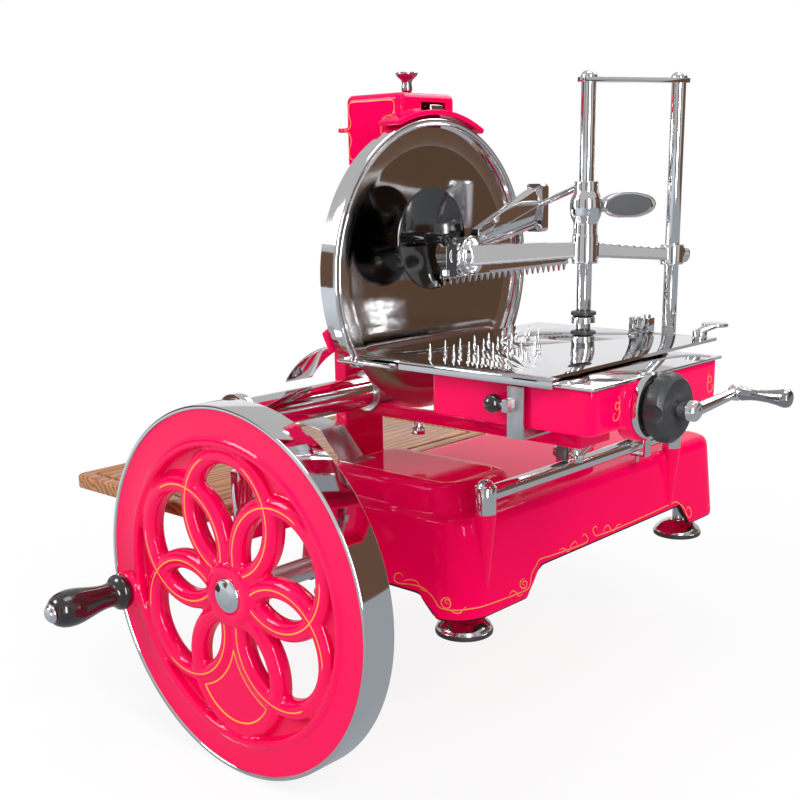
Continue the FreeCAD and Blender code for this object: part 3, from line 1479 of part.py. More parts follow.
def clamp_disc():
    """Dished round shield beside the blade."""
    t = disc_t
    a = V(0, 0, -disc_dish)
    m = V(disc_r * 0.55, 0, -disc_dish * 0.72)
    b = V(disc_r, 0, 0)
    up = V(0, 0, t)
    edges = [Part.Arc(a, m, b).toShape(), Part.makeLine(b, b + up),
             Part.Arc(b + up, m + up, a + up).toShape(),
             Part.makeLine(a + up, a)]
    dish = Part.Face(Part.Wire(edges)).revolve(V(0, 0, 0), EZ, 360)
    stub = rod(V(0, 0, -disc_dish + 1), EZ, 5, disc_dish + 16)
    solid = placed(dish.fuse(stub), V(disc_x + disc_dish - 2, disc_y, disc_z), EX)
    z = arm_z
    link = tapered_bar(V(disc_x + disc_dish + 14, disc_y, disc_z - 4),
                       V(disc_x + disc_dish + 14, hub_y - 16, z + 10),
                       8, 10, 8, 12)
    solid = solid.fuse(link).removeSplitter()
    return solid.cut([rod(V(hub_x - 30, hub_y, z - hub_drop), EX, arm_hub_r + run_gap, 60), comb_carrier(),
                      clamp_beam()])


def fin_base():
    return V(hub_x + 3, hub_y + 12, arm_z + 13)


def clamp_fin():
    """Tapered pusher with an end block and a tie rod back to the column."""
    p = fin_base()
    q = fin_end
    fin = tapered_bar(p, q, 11, 15, 16, 36)
    block = Part.makeBox(fin_plate_w, fin_plate_t, fin_plate_h,
                         V(q.x - fin_plate_w / 2, q.y, q.z - fin_plate_h * 0.6))
    level = [e for e in block.Edges if abs(e.Length - fin_plate_t) < 0.01]
    block = block.makeFillet(5, level)
    under = V(q.x, q.y + 2, q.z - fin_strut_drop)
    d = under - (p - EZ * fin_strut_low)
    strut = Part.makeCylinder(fin_strut_r, d.Length, p - EZ * fin_strut_low, d)
    s = V(q.x + 4, q.y + 6, q.z - 2)
    e = V(col_a.x - 15, col_a.y + 9, arm_z + fin_tie_rise)
    d = e - s
    tie = Part.makeCylinder(fin_tie_r, d.Length, s, d)
    body = fuse([fin, block, strut, tie])
    seat = rod(V(hub_x - 30, hub_y, arm_z - hub_drop), EX, arm_hub_r + run_gap, 60)
    tower = rod(V(col_a.x, col_a.y, arm_z), EZ, tower_r + run_gap, 120)
    swell = rod(V(col_a.x, col_a.y, arm_z + lever_rise - 18), EZ, swell_r + run_gap, 34)
    return body.cut([seat, tower, swell, clamp_beam(), comb_carrier()])


def table_block():
    x0, y0 = block_x, block_y
    top = table_top + block_h
    body = box(x0, x0 + block_w, y0 + 1, y0 + 15, table_top, top)
    body = body.cut(box(x0 + 8, x0 + 12, y0, y0 + 16, table_top + 6, top + 1))
    knob = rod(V(x0 + 19, y0 + 8, top - 0.5), EZ, 5, 4.5)
    return fuse([body, knob])


def thumb_lever():
    x, y = thumb_x, thumb_y
    z = table_top
    post = rod(V(x, y, z), EZ, 8, 9)
    a = V(x, y, z + 8)
    b = V(x - 4, y + thumb_reach, z + 10)
    stem = tapered_bar(a, b, 10, 3, 14, 3)
    pad = rod(V(x - 6, y + thumb_reach + 12, z + 8.5), EZ, thumb_pad_r, 3.5)
    return fuse([post, stem, pad])


def main():
    save(base_casting(), "base_casting")
    stems, bells = feet()
    group(stems, "foot_stems")
    group(bells, "foot_bells")
    save(rod(V(rod_x, rod_y0, rod_z), EY, rod_r, rod_y1 - rod_y0), "front_rod")
    group(rod_sockets(), "rod_sockets")
    save(rod(V(bar_x, bar_y0, bar_z), EY, bar_r, bar_y1 - bar_y0), "guide_bar")
    save(bar_end_post(), "bar_end_post")
    save(shaft_flange(), "shaft_flange")
    save(flywheel(), "flywheel")
    save(hub_cap(), "hub_cap")
    save(flywheel_shaft(), "flywheel_shaft")
    save(handle_spindle(), "handle_spindle")
    save(handle_grip(), "handle_grip")
    save(handle_cap(), "handle_cap")
    on_cross, on_shaft = bevel_gears()
    save(on_cross, "cross_bevel_gear")
    save(on_shaft, "shaft_bevel_gear")
    save(cross_shaft(), "cross_shaft")
    save(sprocket(wheel_z), "lower_sprocket")
    save(drive_chain(), "drive_chain")
    save(sprocket(chain_top()), "upper_sprocket")
    save(lay_shaft(), "lay_shaft")
    m = gear_module()
    a = mesh_angle()
    bore = drive_shaft_r + run_gap
    save(spur_gear(lay_teeth, m, gear_x0, gear_t, cross_y, chain_top(), bore, a), "lay_gear")
    turn = math.pi + a + math.pi / blade_teeth
    save(spur_gear(blade_teeth, m, gear_x0, gear_t, blade_y, blade_z, blade_shaft_r + run_gap, turn),
         "blade_gear")
    save(blade_shaft(), "blade_shaft")
    save(blade(), "blade")
    save(guard_ring(), "guard_ring")
    save(blade_frame(), "blade_frame")
    save(slice_deflector(), "slice_deflector")
    save(drip_plate(), "drip_plate")
    save(slice_board(), "slice_board")
    save(sharpener_box(), "sharpener_box")
    save(sharpener_knob(), "sharpener_knob")
    save(sharpener_lever(), "sharpener_lever")
    save(sharpening_stone(), "sharpening_stone")
    save(carriage_casting(), "carriage_casting")
    save(carriage_shoe(), "carriage_shoe")
    group(carriage_bolts(), "carriage_bolts")
    save(roller(front_roller_y), "front_roller")
    save(roller(rear_roller_y), "rear_roller")
    save(roller_leg(front_roller_y), "carriage_strut")
    save(carriage_bracket(), "carriage_bracket")
    save(carriage_plate(), "carriage_plate")
    save(dial_bezel(), "dial_bezel")
    save(thickness_dial(), "thickness_dial")
    save(lead_screw(), "lead_screw")
    save(feed_crank(), "feed_crank")
    save(crank_grip(), "crank_grip")
    save(release_strap(), "release_strap")
    save(ball_knob(), "ball_knob")
    save(meat_table(), "meat_table")
    group(table_pins(), "table_pins")
    group(clamp_columns(), "clamp_columns")
    save(column_crossbar(), "column_crossbar")
    save(clamp_arm(), "clamp_arm")
    save(clamp_lever(), "clamp_lever")
    save(comb(), "comb")
    save(clamp_disc(), "clamp_disc")
    save(clamp_fin(), "clamp_fin")
    save(table_block(), "table_block")
    save(thumb_lever(), "thumb_lever")


main()
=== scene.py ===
import bpy
import bmesh
import json
import math
from mathutils import Matrix, Vector
from mathutils.bvhtree import BVHTree

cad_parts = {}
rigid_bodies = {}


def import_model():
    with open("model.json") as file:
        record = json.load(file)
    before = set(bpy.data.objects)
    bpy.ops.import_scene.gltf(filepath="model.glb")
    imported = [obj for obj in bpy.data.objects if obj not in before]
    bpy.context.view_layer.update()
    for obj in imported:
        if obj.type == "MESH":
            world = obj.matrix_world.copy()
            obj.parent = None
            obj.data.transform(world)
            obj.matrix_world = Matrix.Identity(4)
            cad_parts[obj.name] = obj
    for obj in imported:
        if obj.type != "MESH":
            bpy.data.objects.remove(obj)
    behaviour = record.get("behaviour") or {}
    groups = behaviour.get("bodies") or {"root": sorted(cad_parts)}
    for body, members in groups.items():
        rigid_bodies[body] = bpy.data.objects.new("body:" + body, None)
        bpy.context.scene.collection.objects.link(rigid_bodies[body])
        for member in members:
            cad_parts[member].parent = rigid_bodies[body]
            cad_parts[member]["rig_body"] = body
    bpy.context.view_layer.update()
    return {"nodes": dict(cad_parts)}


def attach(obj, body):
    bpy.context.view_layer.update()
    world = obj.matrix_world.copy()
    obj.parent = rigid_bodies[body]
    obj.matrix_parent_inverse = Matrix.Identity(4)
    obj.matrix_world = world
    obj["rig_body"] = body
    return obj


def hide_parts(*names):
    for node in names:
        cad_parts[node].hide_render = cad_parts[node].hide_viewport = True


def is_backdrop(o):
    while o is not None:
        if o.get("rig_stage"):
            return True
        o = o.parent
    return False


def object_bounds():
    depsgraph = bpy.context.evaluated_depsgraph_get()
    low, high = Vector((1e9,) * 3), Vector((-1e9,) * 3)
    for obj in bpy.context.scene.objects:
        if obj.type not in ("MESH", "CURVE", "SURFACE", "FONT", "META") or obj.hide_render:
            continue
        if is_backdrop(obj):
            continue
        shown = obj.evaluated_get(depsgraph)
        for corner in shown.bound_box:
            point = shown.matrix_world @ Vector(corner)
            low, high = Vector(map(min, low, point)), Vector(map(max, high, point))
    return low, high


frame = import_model()
nodes = frame["nodes"]

# The frame: origin on the sole plane at the centre of the feet, +Z up.
# Sizes below are millimetres and are turned to metres by MM.
MM = 0.001
EZ = Vector((0, 0, 1))
ALONG_X, ALONG_Y, UPWARD, FORWARD = (1, 0, 0), (0, 1, 0), (0, 0, 1), (0, -1, 0)

# flywheel
wheel_x, wheel_z, wheel_back = -57.0, 75.6, -454.0
circle_d, circle_r, petals = 96.0, 72.5, 6
filled_petal = petals // 2
rib_r, rib_z = 12.4, 30.0
rib_sides, rib_power = 20, 0.8     # a power under 1 gives the ribs' section its barrel shape
web_r, web_low, web_high, web_sink = 182, 22, 31, 2
filling_low, filling_high, filling_gap = 26, 39, 1
grip_dx, grip_dz = -200.0, -38.0
grip_start = 51.5
paint_r, paint_depth, wall_r = 220.9, 20, 193.5

# gold lines of the wheel
line_half = 0.85
line_height = 0.55                 # share of the rib's half width, above which the lines may lie
lines_from, lines_to = 40.0, 163.0
side_r, foot_r, lines_below = 86.0, 65.0, -50.0

# blade
blade_x, blade_y, blade_z = 52, -258.6, 440.7
dish_r, dish_top, dish_deep, dish_steps = 139, 6.3, 3.4, 24
bevel_r = 139.4                    # the bevel is the part of the blade outside this radius
ring_back = 40.0
ring_cut_z = 344.0                 # the guard ring is open below this height

# base
foot_x, foot_y, rubber_top = 108, 262, 6.4
dome_top, dome_round = 190.0, 21
skirt_z, skirt_line = 31.0, 4.5    # the dark edge rises above the lower rim and its arches
rod_x, rod_z = 149, 185
bar_x, bar_z = -98, 272.5

# carriage, table and clamp
screw_y, screw_z = -333, 331
crank_pin = Vector((450, -263, 339))
table_z = 366
column_near, column_far = (243.0, -218.0), (291.0, -115.0)
column_r = 8
lever_normal = (0.9064, 0.4224)    # of the squeeze grip's middle plane
lever_half = 6.2


def at(x, y, z):
    return Vector((x, y, z)) * MM


# ------------------------------------------------------------ shader helpers

class Value:
    """A shader socket that adds Math nodes as an expression is written."""

    def __init__(self, tree, socket):
        self.tree = tree
        self.socket = socket

    def math(self, operation, *terms):
        node = self.tree.nodes.new("ShaderNodeMath")
        node.operation = operation
        for slot, term in zip(node.inputs, terms):
            feed(self.tree, slot, term)
        return Value(self.tree, node.outputs[0])

    def __add__(self, other):
        return self.math("ADD", self, other)

    def __radd__(self, other):
        return self.math("ADD", other, self)

    def __sub__(self, other):
        return self.math("SUBTRACT", self, other)

    def __rsub__(self, other):
        return self.math("SUBTRACT", other, self)

    def __mul__(self, other):
        return self.math("MULTIPLY", self, other)

    def __rmul__(self, other):
        return self.math("MULTIPLY", other, self)

    def __truediv__(self, other):
        return self.math("DIVIDE", self, other)

    def __pow__(self, other):
        return self.math("POWER", self, other)

    def __lt__(self, other):
        return self.math("LESS_THAN", self, other)

    def __gt__(self, other):
        return self.math("GREATER_THAN", self, other)

    def __abs__(self):
        return self.math("ABSOLUTE", self)

    def least(self, other):
        return self.math("MINIMUM", self, other)

    def most(self, other):
        return self.math("MAXIMUM", self, other)

    def root(self):
        return self.math("SQRT", self)

    def sine(self):
        return self.math("SINE", self)

    def clamp(self):
        return self.least(1.0).most(0.0)


def feed(tree, slot, term):
    if isinstance(term, Value):
        tree.links.new(term.socket, slot)
    else:
        slot.default_value = term


class Finish:
    """A material under construction, with one method that adds any node."""

    def __init__(self, name):
        self.material = bpy.data.materials.new(name)
        self.material.use_nodes = True
        self.tree = self.material.node_tree
        self.tree.nodes.clear()
        self.shader = self.tree.nodes.new("ShaderNodeBsdfPrincipled")
        out = self.tree.nodes.new("ShaderNodeOutputMaterial")
        self.tree.links.new(self.shader.outputs[0], out.inputs[0])

    def node(self, kind, out=0, **sockets):
        node = self.tree.nodes.new("ShaderNode" + kind)
        for key, term in sockets.items():
            feed(self.tree, node.inputs[key.replace("_", " ")], term)
        return Value(self.tree, node.outputs[out])

    def set(self, **sockets):
        for key, term in sockets.items():
            feed(self.tree, self.shader.inputs[key.replace("_", " ")], term)
        return self

    def place(self):
        """Object coordinates in millimetres, as three values."""
        co = self.node("TexCoord", out="Object")
        split = self.tree.nodes.new("ShaderNodeSeparateXYZ")
        self.tree.links.new(co.socket, split.inputs[0])
        return [Value(self.tree, split.outputs[i]) / MM for i in range(3)]

    def noise(self, scale, detail=3.0):
        co = self.node("TexCoord", out="Object")
        return self.node("TexNoise", Vector=co, Scale=scale, Detail=detail)

    def grain(self, stretch, scale, detail):
        """Noise that is drawn out by a different amount along each axis."""
        co = self.node("TexCoord", out="Object")
        return self.node("TexNoise", Vector=self.node("Mapping", Vector=co, Scale=stretch), Scale=scale,
                         Detail=detail)

    def mix(self, factor, a, b):
        node = self.tree.nodes.new("ShaderNodeMix")
        node.data_type = "RGBA"
        feed(self.tree, node.inputs[0], factor)
        feed(self.tree, node.inputs[6], a)
        feed(self.tree, node.inputs[7], b)
        return Value(self.tree, node.outputs[2])

    def bump(self, height, strength, distance):
        return self.node("Bump", Height=height, Strength=strength, Distance=distance)


ENAMEL = (0.92, 0.0006, 0.098, 1)
ENAMEL_DEEP = (0.78, 0.0004, 0.074, 1)
GOLD = (0.90, 0.36, 0.05, 1)
BLACK_EDGE = (0.008, 0.007, 0.008, 1)


def enamel(name, stripes=None, edge=None, gloss=0.13):
    """Thick gloss enamel over a casting, with gold lines and dark edges where the masks say."""
    f = Finish(name)
    x, y, z = f.place()
    tone = f.noise(5.0, 4.0)
    colour = f.mix(tone, ENAMEL_DEEP, ENAMEL)
    rough = 0.035 + 0.03 * f.noise(60.0, 3.0)
    if stripes:
        mask = stripes(x, y, z).clamp()
        colour = f.mix(mask, colour, GOLD)
        rough = rough + mask * 0.12
    if edge:
        dark = edge(x, y, z).clamp()
        colour = f.mix(dark, colour, BLACK_EDGE)
    f.set(Base_Color=colour, Roughness=rough, Specular_IOR_Level=gloss)
    f.set(Normal=f.bump(f.noise(55.0, 2.0), 0.06, 0.0004))
    return f.material


def chrome(name, shade=0.80, rough=0.035, haze=0.05):
    f = Finish(name)
    cloud = f.noise(18.0, 4.0)
    colour = f.mix(cloud, (shade * 0.93, shade * 0.93, shade * 0.95, 1), (shade, shade, shade * 1.01, 1))
    f.set(Base_Color=colour, Metallic=1.0, Roughness=rough + haze * f.noise(90.0, 4.0))
    f.set(Normal=f.bump(f.noise(120.0, 3.0), 0.02, 0.0002))
    return f.material


def ground_steel(name, shade, rough):
    """Steel turned or ground in rings about the blade axis."""
    f = Finish(name)
    x, y, z = f.place()
    r = ((y - blade_y) ** 2.0 + (z - blade_z) ** 2.0).root()
    lines = (r * 9.0).sine() * 0.5 + 0.5
    colour = f.mix(f.noise(9.0, 3.0), (shade * 0.88, shade * 0.87, shade * 0.86, 1), (shade, shade, shade, 1))
    f.set(Base_Color=colour, Metallic=1.0, Roughness=rough + 0.05 * f.noise(40.0, 4.0) + 0.02 * lines)
    f.set(Normal=f.bump(lines, 0.03, 0.0001))
    return f.material


def brushed(name, shade, rough=0.24):
    """Steel with fine lines along X."""
    f = Finish(name)
    grain = f.grain((8.0, 260.0, 260.0), 4.0, 5.0)
    colour = f.mix(grain, (shade * 0.8, shade * 0.8, shade * 0.82, 1), (shade, shade, shade, 1))
    f.set(Base_Color=colour, Metallic=1.0, Roughness=rough + 0.14 * grain)
    f.set(Normal=f.bump(grain, 0.08, 0.0002))
    return f.material


def moulding(name, colour, rough, coat):
    f = Finish(name)
    fine = f.noise(700.0, 2.0)
    patch = f.noise(25.0, 4.0)
    dark = tuple(c * 0.7 for c in colour[:3]) + (1,)
    f.set(Base_Color=f.mix(patch, dark, colour), Roughness=rough + 0.10 * patch)
    f.set(Coat_Weight=coat, Coat_Roughness=0.04)
    f.set(Normal=f.bump(fine, 0.12, 0.0003))
    return f.material


def timber(name, light, dark):
    """Planks with long wavy grain along Y."""
    f = Finish(name)
    plank_width = 72.0
    x, y, z = f.place()
    sway = f.grain((9.0, 2.2, 9.0), 2.0, 4.0)
    rings = ((x + sway * 70.0 + z * 1.4) * 0.42).sine() * 0.5 + 0.5
    pores = f.grain((900.0, 30.0, 900.0), 1.0, 4.0)
    colour = f.mix((rings * 0.65 + pores * 0.45).clamp(), dark, light)
    across = x / plank_width
    plank = (across.math("FLOOR", across) * 12.9898).sine()     # a different tone for each plank
    shade = f.mix((plank * 0.5 + 0.5) * 0.55, colour, dark)
    f.set(Base_Color=shade, Roughness=0.34 + 0.2 * pores, Coat_Weight=0.25, Coat_Roughness=0.2)
    f.set(Normal=f.bump(rings * 0.3 + pores, 0.2, 0.0004))
    return f.material


def petal_centre(i):
    a = math.radians(90 + 60 * i)
    return circle_d * math.cos(a), circle_d * math.sin(a)


def wheel_stripes(x, y, z):
    """Gold lines on the crowns of the five open circles and round the filled bottom one."""
    u = x - wheel_x
    v = z - wheel_z
    radius = (u * u + v * v).root()
    front = y < (wheel_back - rib_z - rib_r * line_height)
    far = []
    for i in range(petals):
        cu, cv = petal_centre(i)
        far.append(((u - cu) ** 2.0 + (v - cv) ** 2.0).root())
    crowns = None
    for i, reach in enumerate(far):
        if i != filled_petal:
            line = abs(reach - circle_r) < line_half
            crowns = line if crowns is None else crowns.most(line)
    rims = (radius > lines_from) * (radius < lines_to) * front
    left, own, other = far[filled_petal - 1:filled_petal + 2]
    sides = ((abs(left - side_r) < line_half) * (other > side_r)
             + (abs(other - side_r) < line_half) * (left > side_r))
    foot = (abs(own - foot_r) < line_half) * (left > side_r) * (other > side_r) * (v < -circle_d)
    return crowns * rims + (sides * (own < foot_r) + foot) * (v < lines_below) * front


def arch(along, start, end, across, limit):
    """Rise of the edge over an arch, from 0 to 1, on the walls that lie beyond the limit."""
    slope = 30.0
    return ((along - start) / slope).clamp() * ((end - along) / slope).clamp() * (abs(across) > limit)


def black_skirt(x, y, z):
    """Dark edge that follows the arches along the bottom of the base."""
    edge = skirt_z + arch(y, -190.0, 220.0, x, 130.0) * 35.0 + arch(x, -110.0, 110.0, y, 296.0) * 26.0
    return z < edge + skirt_line


def grip_plates(x, y):
    """The two rubber faces of the squeeze grip, from the distance to its middle plane."""
    nx, ny = lever_normal
    return abs((x - column_near[0]) * nx - (y - column_near[1]) * ny) > lever_half


def lever_finish(name):
    """Chrome with rubber faces let in."""
    f = Finish(name)
    x, y, z = f.place()
    face = grip_plates(x, y)
    fine = f.noise(420.0, 3.0)
    f.set(Base_Color=f.mix(face, (0.72, 0.72, 0.73, 1), (0.085, 0.09, 0.095, 1)), Metallic=1.0 - face)
    f.set(Roughness=0.05 + face * (0.34 + 0.1 * fine), Normal=f.bump(face * fine, 0.25, 0.0003))
    return f.material


paint = enamel("pink_enamel")
paint_base = enamel("pink_enamel_base", edge=black_skirt, gloss=0.05)
paint_wheel = enamel("pink_enamel_wheel", stripes=wheel_stripes, gloss=0.34)
bright = chrome("polished_chrome")
soft_chrome = chrome("soft_chrome", 0.72, 0.10, 0.12)
dark_chrome = chrome("smoked_chrome", 0.42, 0.10, 0.10)
# painted shade: the clamp disc's chrome is made near black to stand in for the dark reflection in its concave
# face
disc_shaded_chrome = chrome("disc_painted_shade", 0.13, 0.05, 0.04)
blade_face = ground_steel("blade_face", 0.60, 0.03)
bevel_steel = ground_steel("blade_bevel", 0.78, 0.10)
plain_steel = brushed("plain_steel", 0.62)
gear_steel = brushed("gear_steel", 0.34, 0.34)
table_steel = chrome("table_steel", 0.66, 0.02, 0.03)
grey_iron = moulding("grey_iron", (0.16, 0.165, 0.17, 1), 0.38, 0.2)
knob_rubber = moulding("knob_rubber", (0.030, 0.033, 0.036, 1), 0.42, 0.1)
black_gloss = moulding("black_gloss", (0.012, 0.008, 0.008, 1), 0.16, 1.0)
gold_paint = moulding("gold_paint", GOLD, 0.30, 0.3)
board_wood = timber("board_wood", (0.62, 0.26, 0.075, 1), (0.15, 0.042, 0.014, 1))


# ------------------------------------------------------------ mesh helpers

SMOOTH_ANGLE, BEVEL_ANGLE = math.radians(32.0), math.radians(34.0)
SMOOTH_FACTOR = 0.5
MERGE_DISTANCE, FLAT_ANGLE = 2e-6, math.radians(0.4)


def piece(name, mesh, material, body, replaces=()):
    mesh.name = name
    mesh.materials.clear()
    for one in material if isinstance(material, (list, tuple)) else [material]:
        mesh.materials.append(one)
    mesh.shade_smooth()
    mesh.set_sharp_from_angle(angle=SMOOTH_ANGLE)
    obj = bpy.data.objects.new(name, mesh)
    bpy.context.scene.collection.objects.link(obj)
    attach(obj, body)
    if replaces:
        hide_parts(*replaces)
    return obj


def to_mesh(bm, fix=True):
    if fix:
        bmesh.ops.recalc_face_normals(bm, faces=bm.faces)
    mesh = bpy.data.meshes.new("mesh")
    bm.to_mesh(mesh)
    bm.free()
    return mesh


def eased(profile, radius, steps=3):
    """Rounds the inner corners of a (radius, height) profile."""
    out = [profile[0]]
    for before, corner, after in zip(profile, profile[1:], profile[2:]):
        c = Vector(corner)
        a, b = Vector(before) - c, Vector(after) - c
        reach = min(radius, a.length * 0.45, b.length * 0.45)
        if reach < 0.02:
            out.append(corner)
            continue
        p, q = c + a.normalized() * reach, c + b.normalized() * reach
        for i in range(steps + 1):
            t = i / steps
            mid = p * (1 - t) ** 2 + c * 2 * t * (1 - t) + q * t ** 2
            out.append((mid.x, mid.y))
    out.append(profile[-1])
    return out


def arc(cx, cy, r, a0, a1, steps=10):
    """Points of a circular arc in a profile plane, in degrees."""
    points = []
    for i in range(steps + 1):
        a = math.radians(a0 + (a1 - a0) * i / steps)
        points.append((cx + r * math.cos(a), cy + r * math.sin(a)))
    return points


def turn(base, axis):
    quat = EZ.rotation_difference(Vector(axis))
    return Matrix.Translation(Vector(base) * MM) @ quat.to_matrix().to_4x4() @ Matrix.Scale(MM, 4)


def lathe(profile, base, axis, segments, bm=None, loop=False):
    """Surface turned from (radius, height) points. The profile starts and ends on the axis, or is a loop."""
    own = bm is None
    bm = bmesh.new() if own else bm
    place = turn(base, axis)
    rings = []
    for r, h in profile:
        if r < 0.001:
            rings.append([bm.verts.new(place @ Vector((0, 0, h)))])
            continue
        ring = []
        for i in range(segments):
            a = 2 * math.pi * i / segments
            ring.append(bm.verts.new(place @ Vector((r * math.cos(a), r * math.sin(a), h))))
        rings.append(ring)
    pairs = list(zip(rings, rings[1:]))
    if loop:
        pairs.append((rings[-1], rings[0]))
    for low, high in pairs:
        for i in range(segments):
            j = (i + 1) % segments
            corners = [low[i % len(low)], low[j % len(low)], high[j % len(high)], high[i % len(high)]]
            corners = list(dict.fromkeys(corners))
            if len(corners) > 2:
                bm.faces.new(corners)
    return to_mesh(bm) if own else bm


def turned(node, profile, base, axis, segments, material, body, loop=False):
    """Finishes a CAD node that is a turned piece."""
    piece(node + "_finish", lathe(profile, base, axis, segments, loop=loop), material, body, [node])


def tube(points, radius, sides, bm):
    """Round wire swept along points in millimetres."""
    pts = [Vector(p) * MM for p in points]
    last = len(pts) - 1
    rings = []
    up = None
    for i, p in enumerate(pts):
        along = (pts[min(i + 1, last)] - pts[max(i - 1, 0)]).normalized()
        if up is None:
            up = along.orthogonal()
        up = (up - along * up.dot(along)).normalized()
        side = along.cross(up)
        ring = []
        for k in range(sides):
            a = 2 * math.pi * k / sides
            ring.append(bm.verts.new(p + (side * math.cos(a) + up * math.sin(a)) * radius * MM))
        rings.append(ring)
    for low, high in zip(rings, rings[1:]):
        for k in range(sides):
            m = (k + 1) % sides
            bm.faces.new([low[k], low[m], high[m], high[k]])
    bm.faces.new(rings[0][::-1])
    bm.faces.new(rings[-1])


def applied(obj):
    """The evaluated mesh of an object, which is then removed."""
    bpy.context.view_layer.update()
    graph = bpy.context.evaluated_depsgraph_get()
    mesh = bpy.data.meshes.new_from_object(obj.evaluated_get(graph))
    bpy.data.objects.remove(obj)
    return mesh


def merged(node):
    """A joined-up copy of a CAD node's mesh."""
    bm = bmesh.new()
    bm.from_mesh(nodes[node].data)
    bmesh.ops.remove_doubles(bm, verts=bm.verts, dist=MERGE_DISTANCE)
    bmesh.ops.dissolve_limit(bm, angle_limit=FLAT_ANGLE, verts=bm.verts, edges=bm.edges)
    return to_mesh(bm, fix=False)


def loose(mesh):
    obj = bpy.data.objects.new("work", mesh)
    bpy.context.scene.collection.objects.link(obj)
    return obj


def cast(mesh, voxel, soften):
    """A casting: the sharp joins between its parts are filled and rounded."""
    obj = loose(mesh)
    grid = obj.modifiers.new("grid", "REMESH")
    grid.mode = "VOXEL"
    grid.voxel_size = voxel * MM
    smooth = obj.modifiers.new("smooth", "SMOOTH")
    smooth.factor = SMOOTH_FACTOR
    smooth.iterations = soften
    return applied(obj)


def bevelled(mesh, width):
    obj = loose(mesh)
    edge = obj.modifiers.new("edge", "BEVEL")
    edge.width = width * MM
    edge.segments = 2
    edge.limit_method = "ANGLE"
    edge.angle_limit = BEVEL_ANGLE
    edge.use_clamp_overlap = True
    return applied(obj)


def dress(node, material, bevel=0.0):
    """Finishes a CAD node: a smooth-shaded copy with its edges eased."""
    mesh = merged(node)
    if bevel:
        mesh = bevelled(mesh, bevel)
    piece(node + "_finish", mesh, material, nodes[node]["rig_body"], [node])


# ------------------------------------------------------------ repeats

def repeat_tree():
    """Node group that puts an item on every point and gives the result one material."""
    tree = bpy.data.node_groups.new("repeats", "GeometryNodeTree")
    face = tree.interface
    face.new_socket("Points", in_out="INPUT", socket_type="NodeSocketGeometry")
    item = face.new_socket("Item", in_out="INPUT", socket_type="NodeSocketObject")
    finish = face.new_socket("Finish", in_out="INPUT", socket_type="NodeSocketMaterial")
    face.new_socket("Result", in_out="OUTPUT", socket_type="NodeSocketGeometry")
    entry = tree.nodes.new("NodeGroupInput")
    leave = tree.nodes.new("NodeGroupOutput")
    info = tree.nodes.new("GeometryNodeObjectInfo")
    place = tree.nodes.new("GeometryNodeInstanceOnPoints")
    real = tree.nodes.new("GeometryNodeRealizeInstances")
    coat = tree.nodes.new("GeometryNodeSetMaterial")
    link = tree.links.new
    link(entry.outputs["Points"], place.inputs["Points"])
    link(entry.outputs["Item"], info.inputs["Object"])
    link(info.outputs["Geometry"], place.inputs["Instance"])
    link(place.outputs[0], real.inputs[0])
    link(real.outputs[0], coat.inputs["Geometry"])
    link(entry.outputs["Finish"], coat.inputs["Material"])
    link(coat.outputs[0], leave.inputs["Result"])
    return tree, item.identifier, finish.identifier


repeats, item_key, finish_key = repeat_tree()


def repeat(node, item, places, material, body):
    """Finishes a CAD node with one copy of the item mesh at every place, in millimetres."""
    cloud = bpy.data.meshes.new("places")
    cloud.from_pydata([Vector(p) * MM for p in places], [], [])
    points = loose(cloud)
    source = loose(item)
    modifier = points.modifiers.new("repeats", "NODES")
    modifier.node_group = repeats
    modifier[item_key] = source
    modifier[finish_key] = material
    mesh = applied(points)
    bpy.data.objects.remove(source)
    piece(node + "_finish", mesh, material, body, [node])


# ------------------------------------------------------------ flywheel

def wheel_at(u, v, h):
    return (wheel_x + u, wheel_back - h, wheel_z + v)


def slab(outline_in, outline_out, h0, h1, bm):
    """Flat plate between two outlines of equal length."""
    rows = []
    for outline, h in ((outline_in, h0), (outline_out, h0), (outline_out, h1), (outline_in, h1)):
        rows.append([bm.verts.new(Vector(wheel_at(u, v, h)) * MM) for u, v in outline])
    count = len(outline_out)
    for low, high in zip(rows, rows[1:] + rows[:1]):
        for i in range(count):
            j = (i + 1) % count
            bm.faces.new([low[i], low[j], high[j], high[i]])


def plate(outline, h0, h1, bm):
    """Flat plate inside one outline."""
    low = [bm.verts.new(Vector(wheel_at(u, v, h0)) * MM) for u, v in outline]
    high = [bm.verts.new(Vector(wheel_at(u, v, h1)) * MM) for u, v in outline]
    bm.faces.new(low)
    bm.faces.new(high[::-1])
    for i in range(len(outline)):
        j = (i + 1) % len(outline)
        bm.faces.new([low[i], low[j], high[j], high[i]])


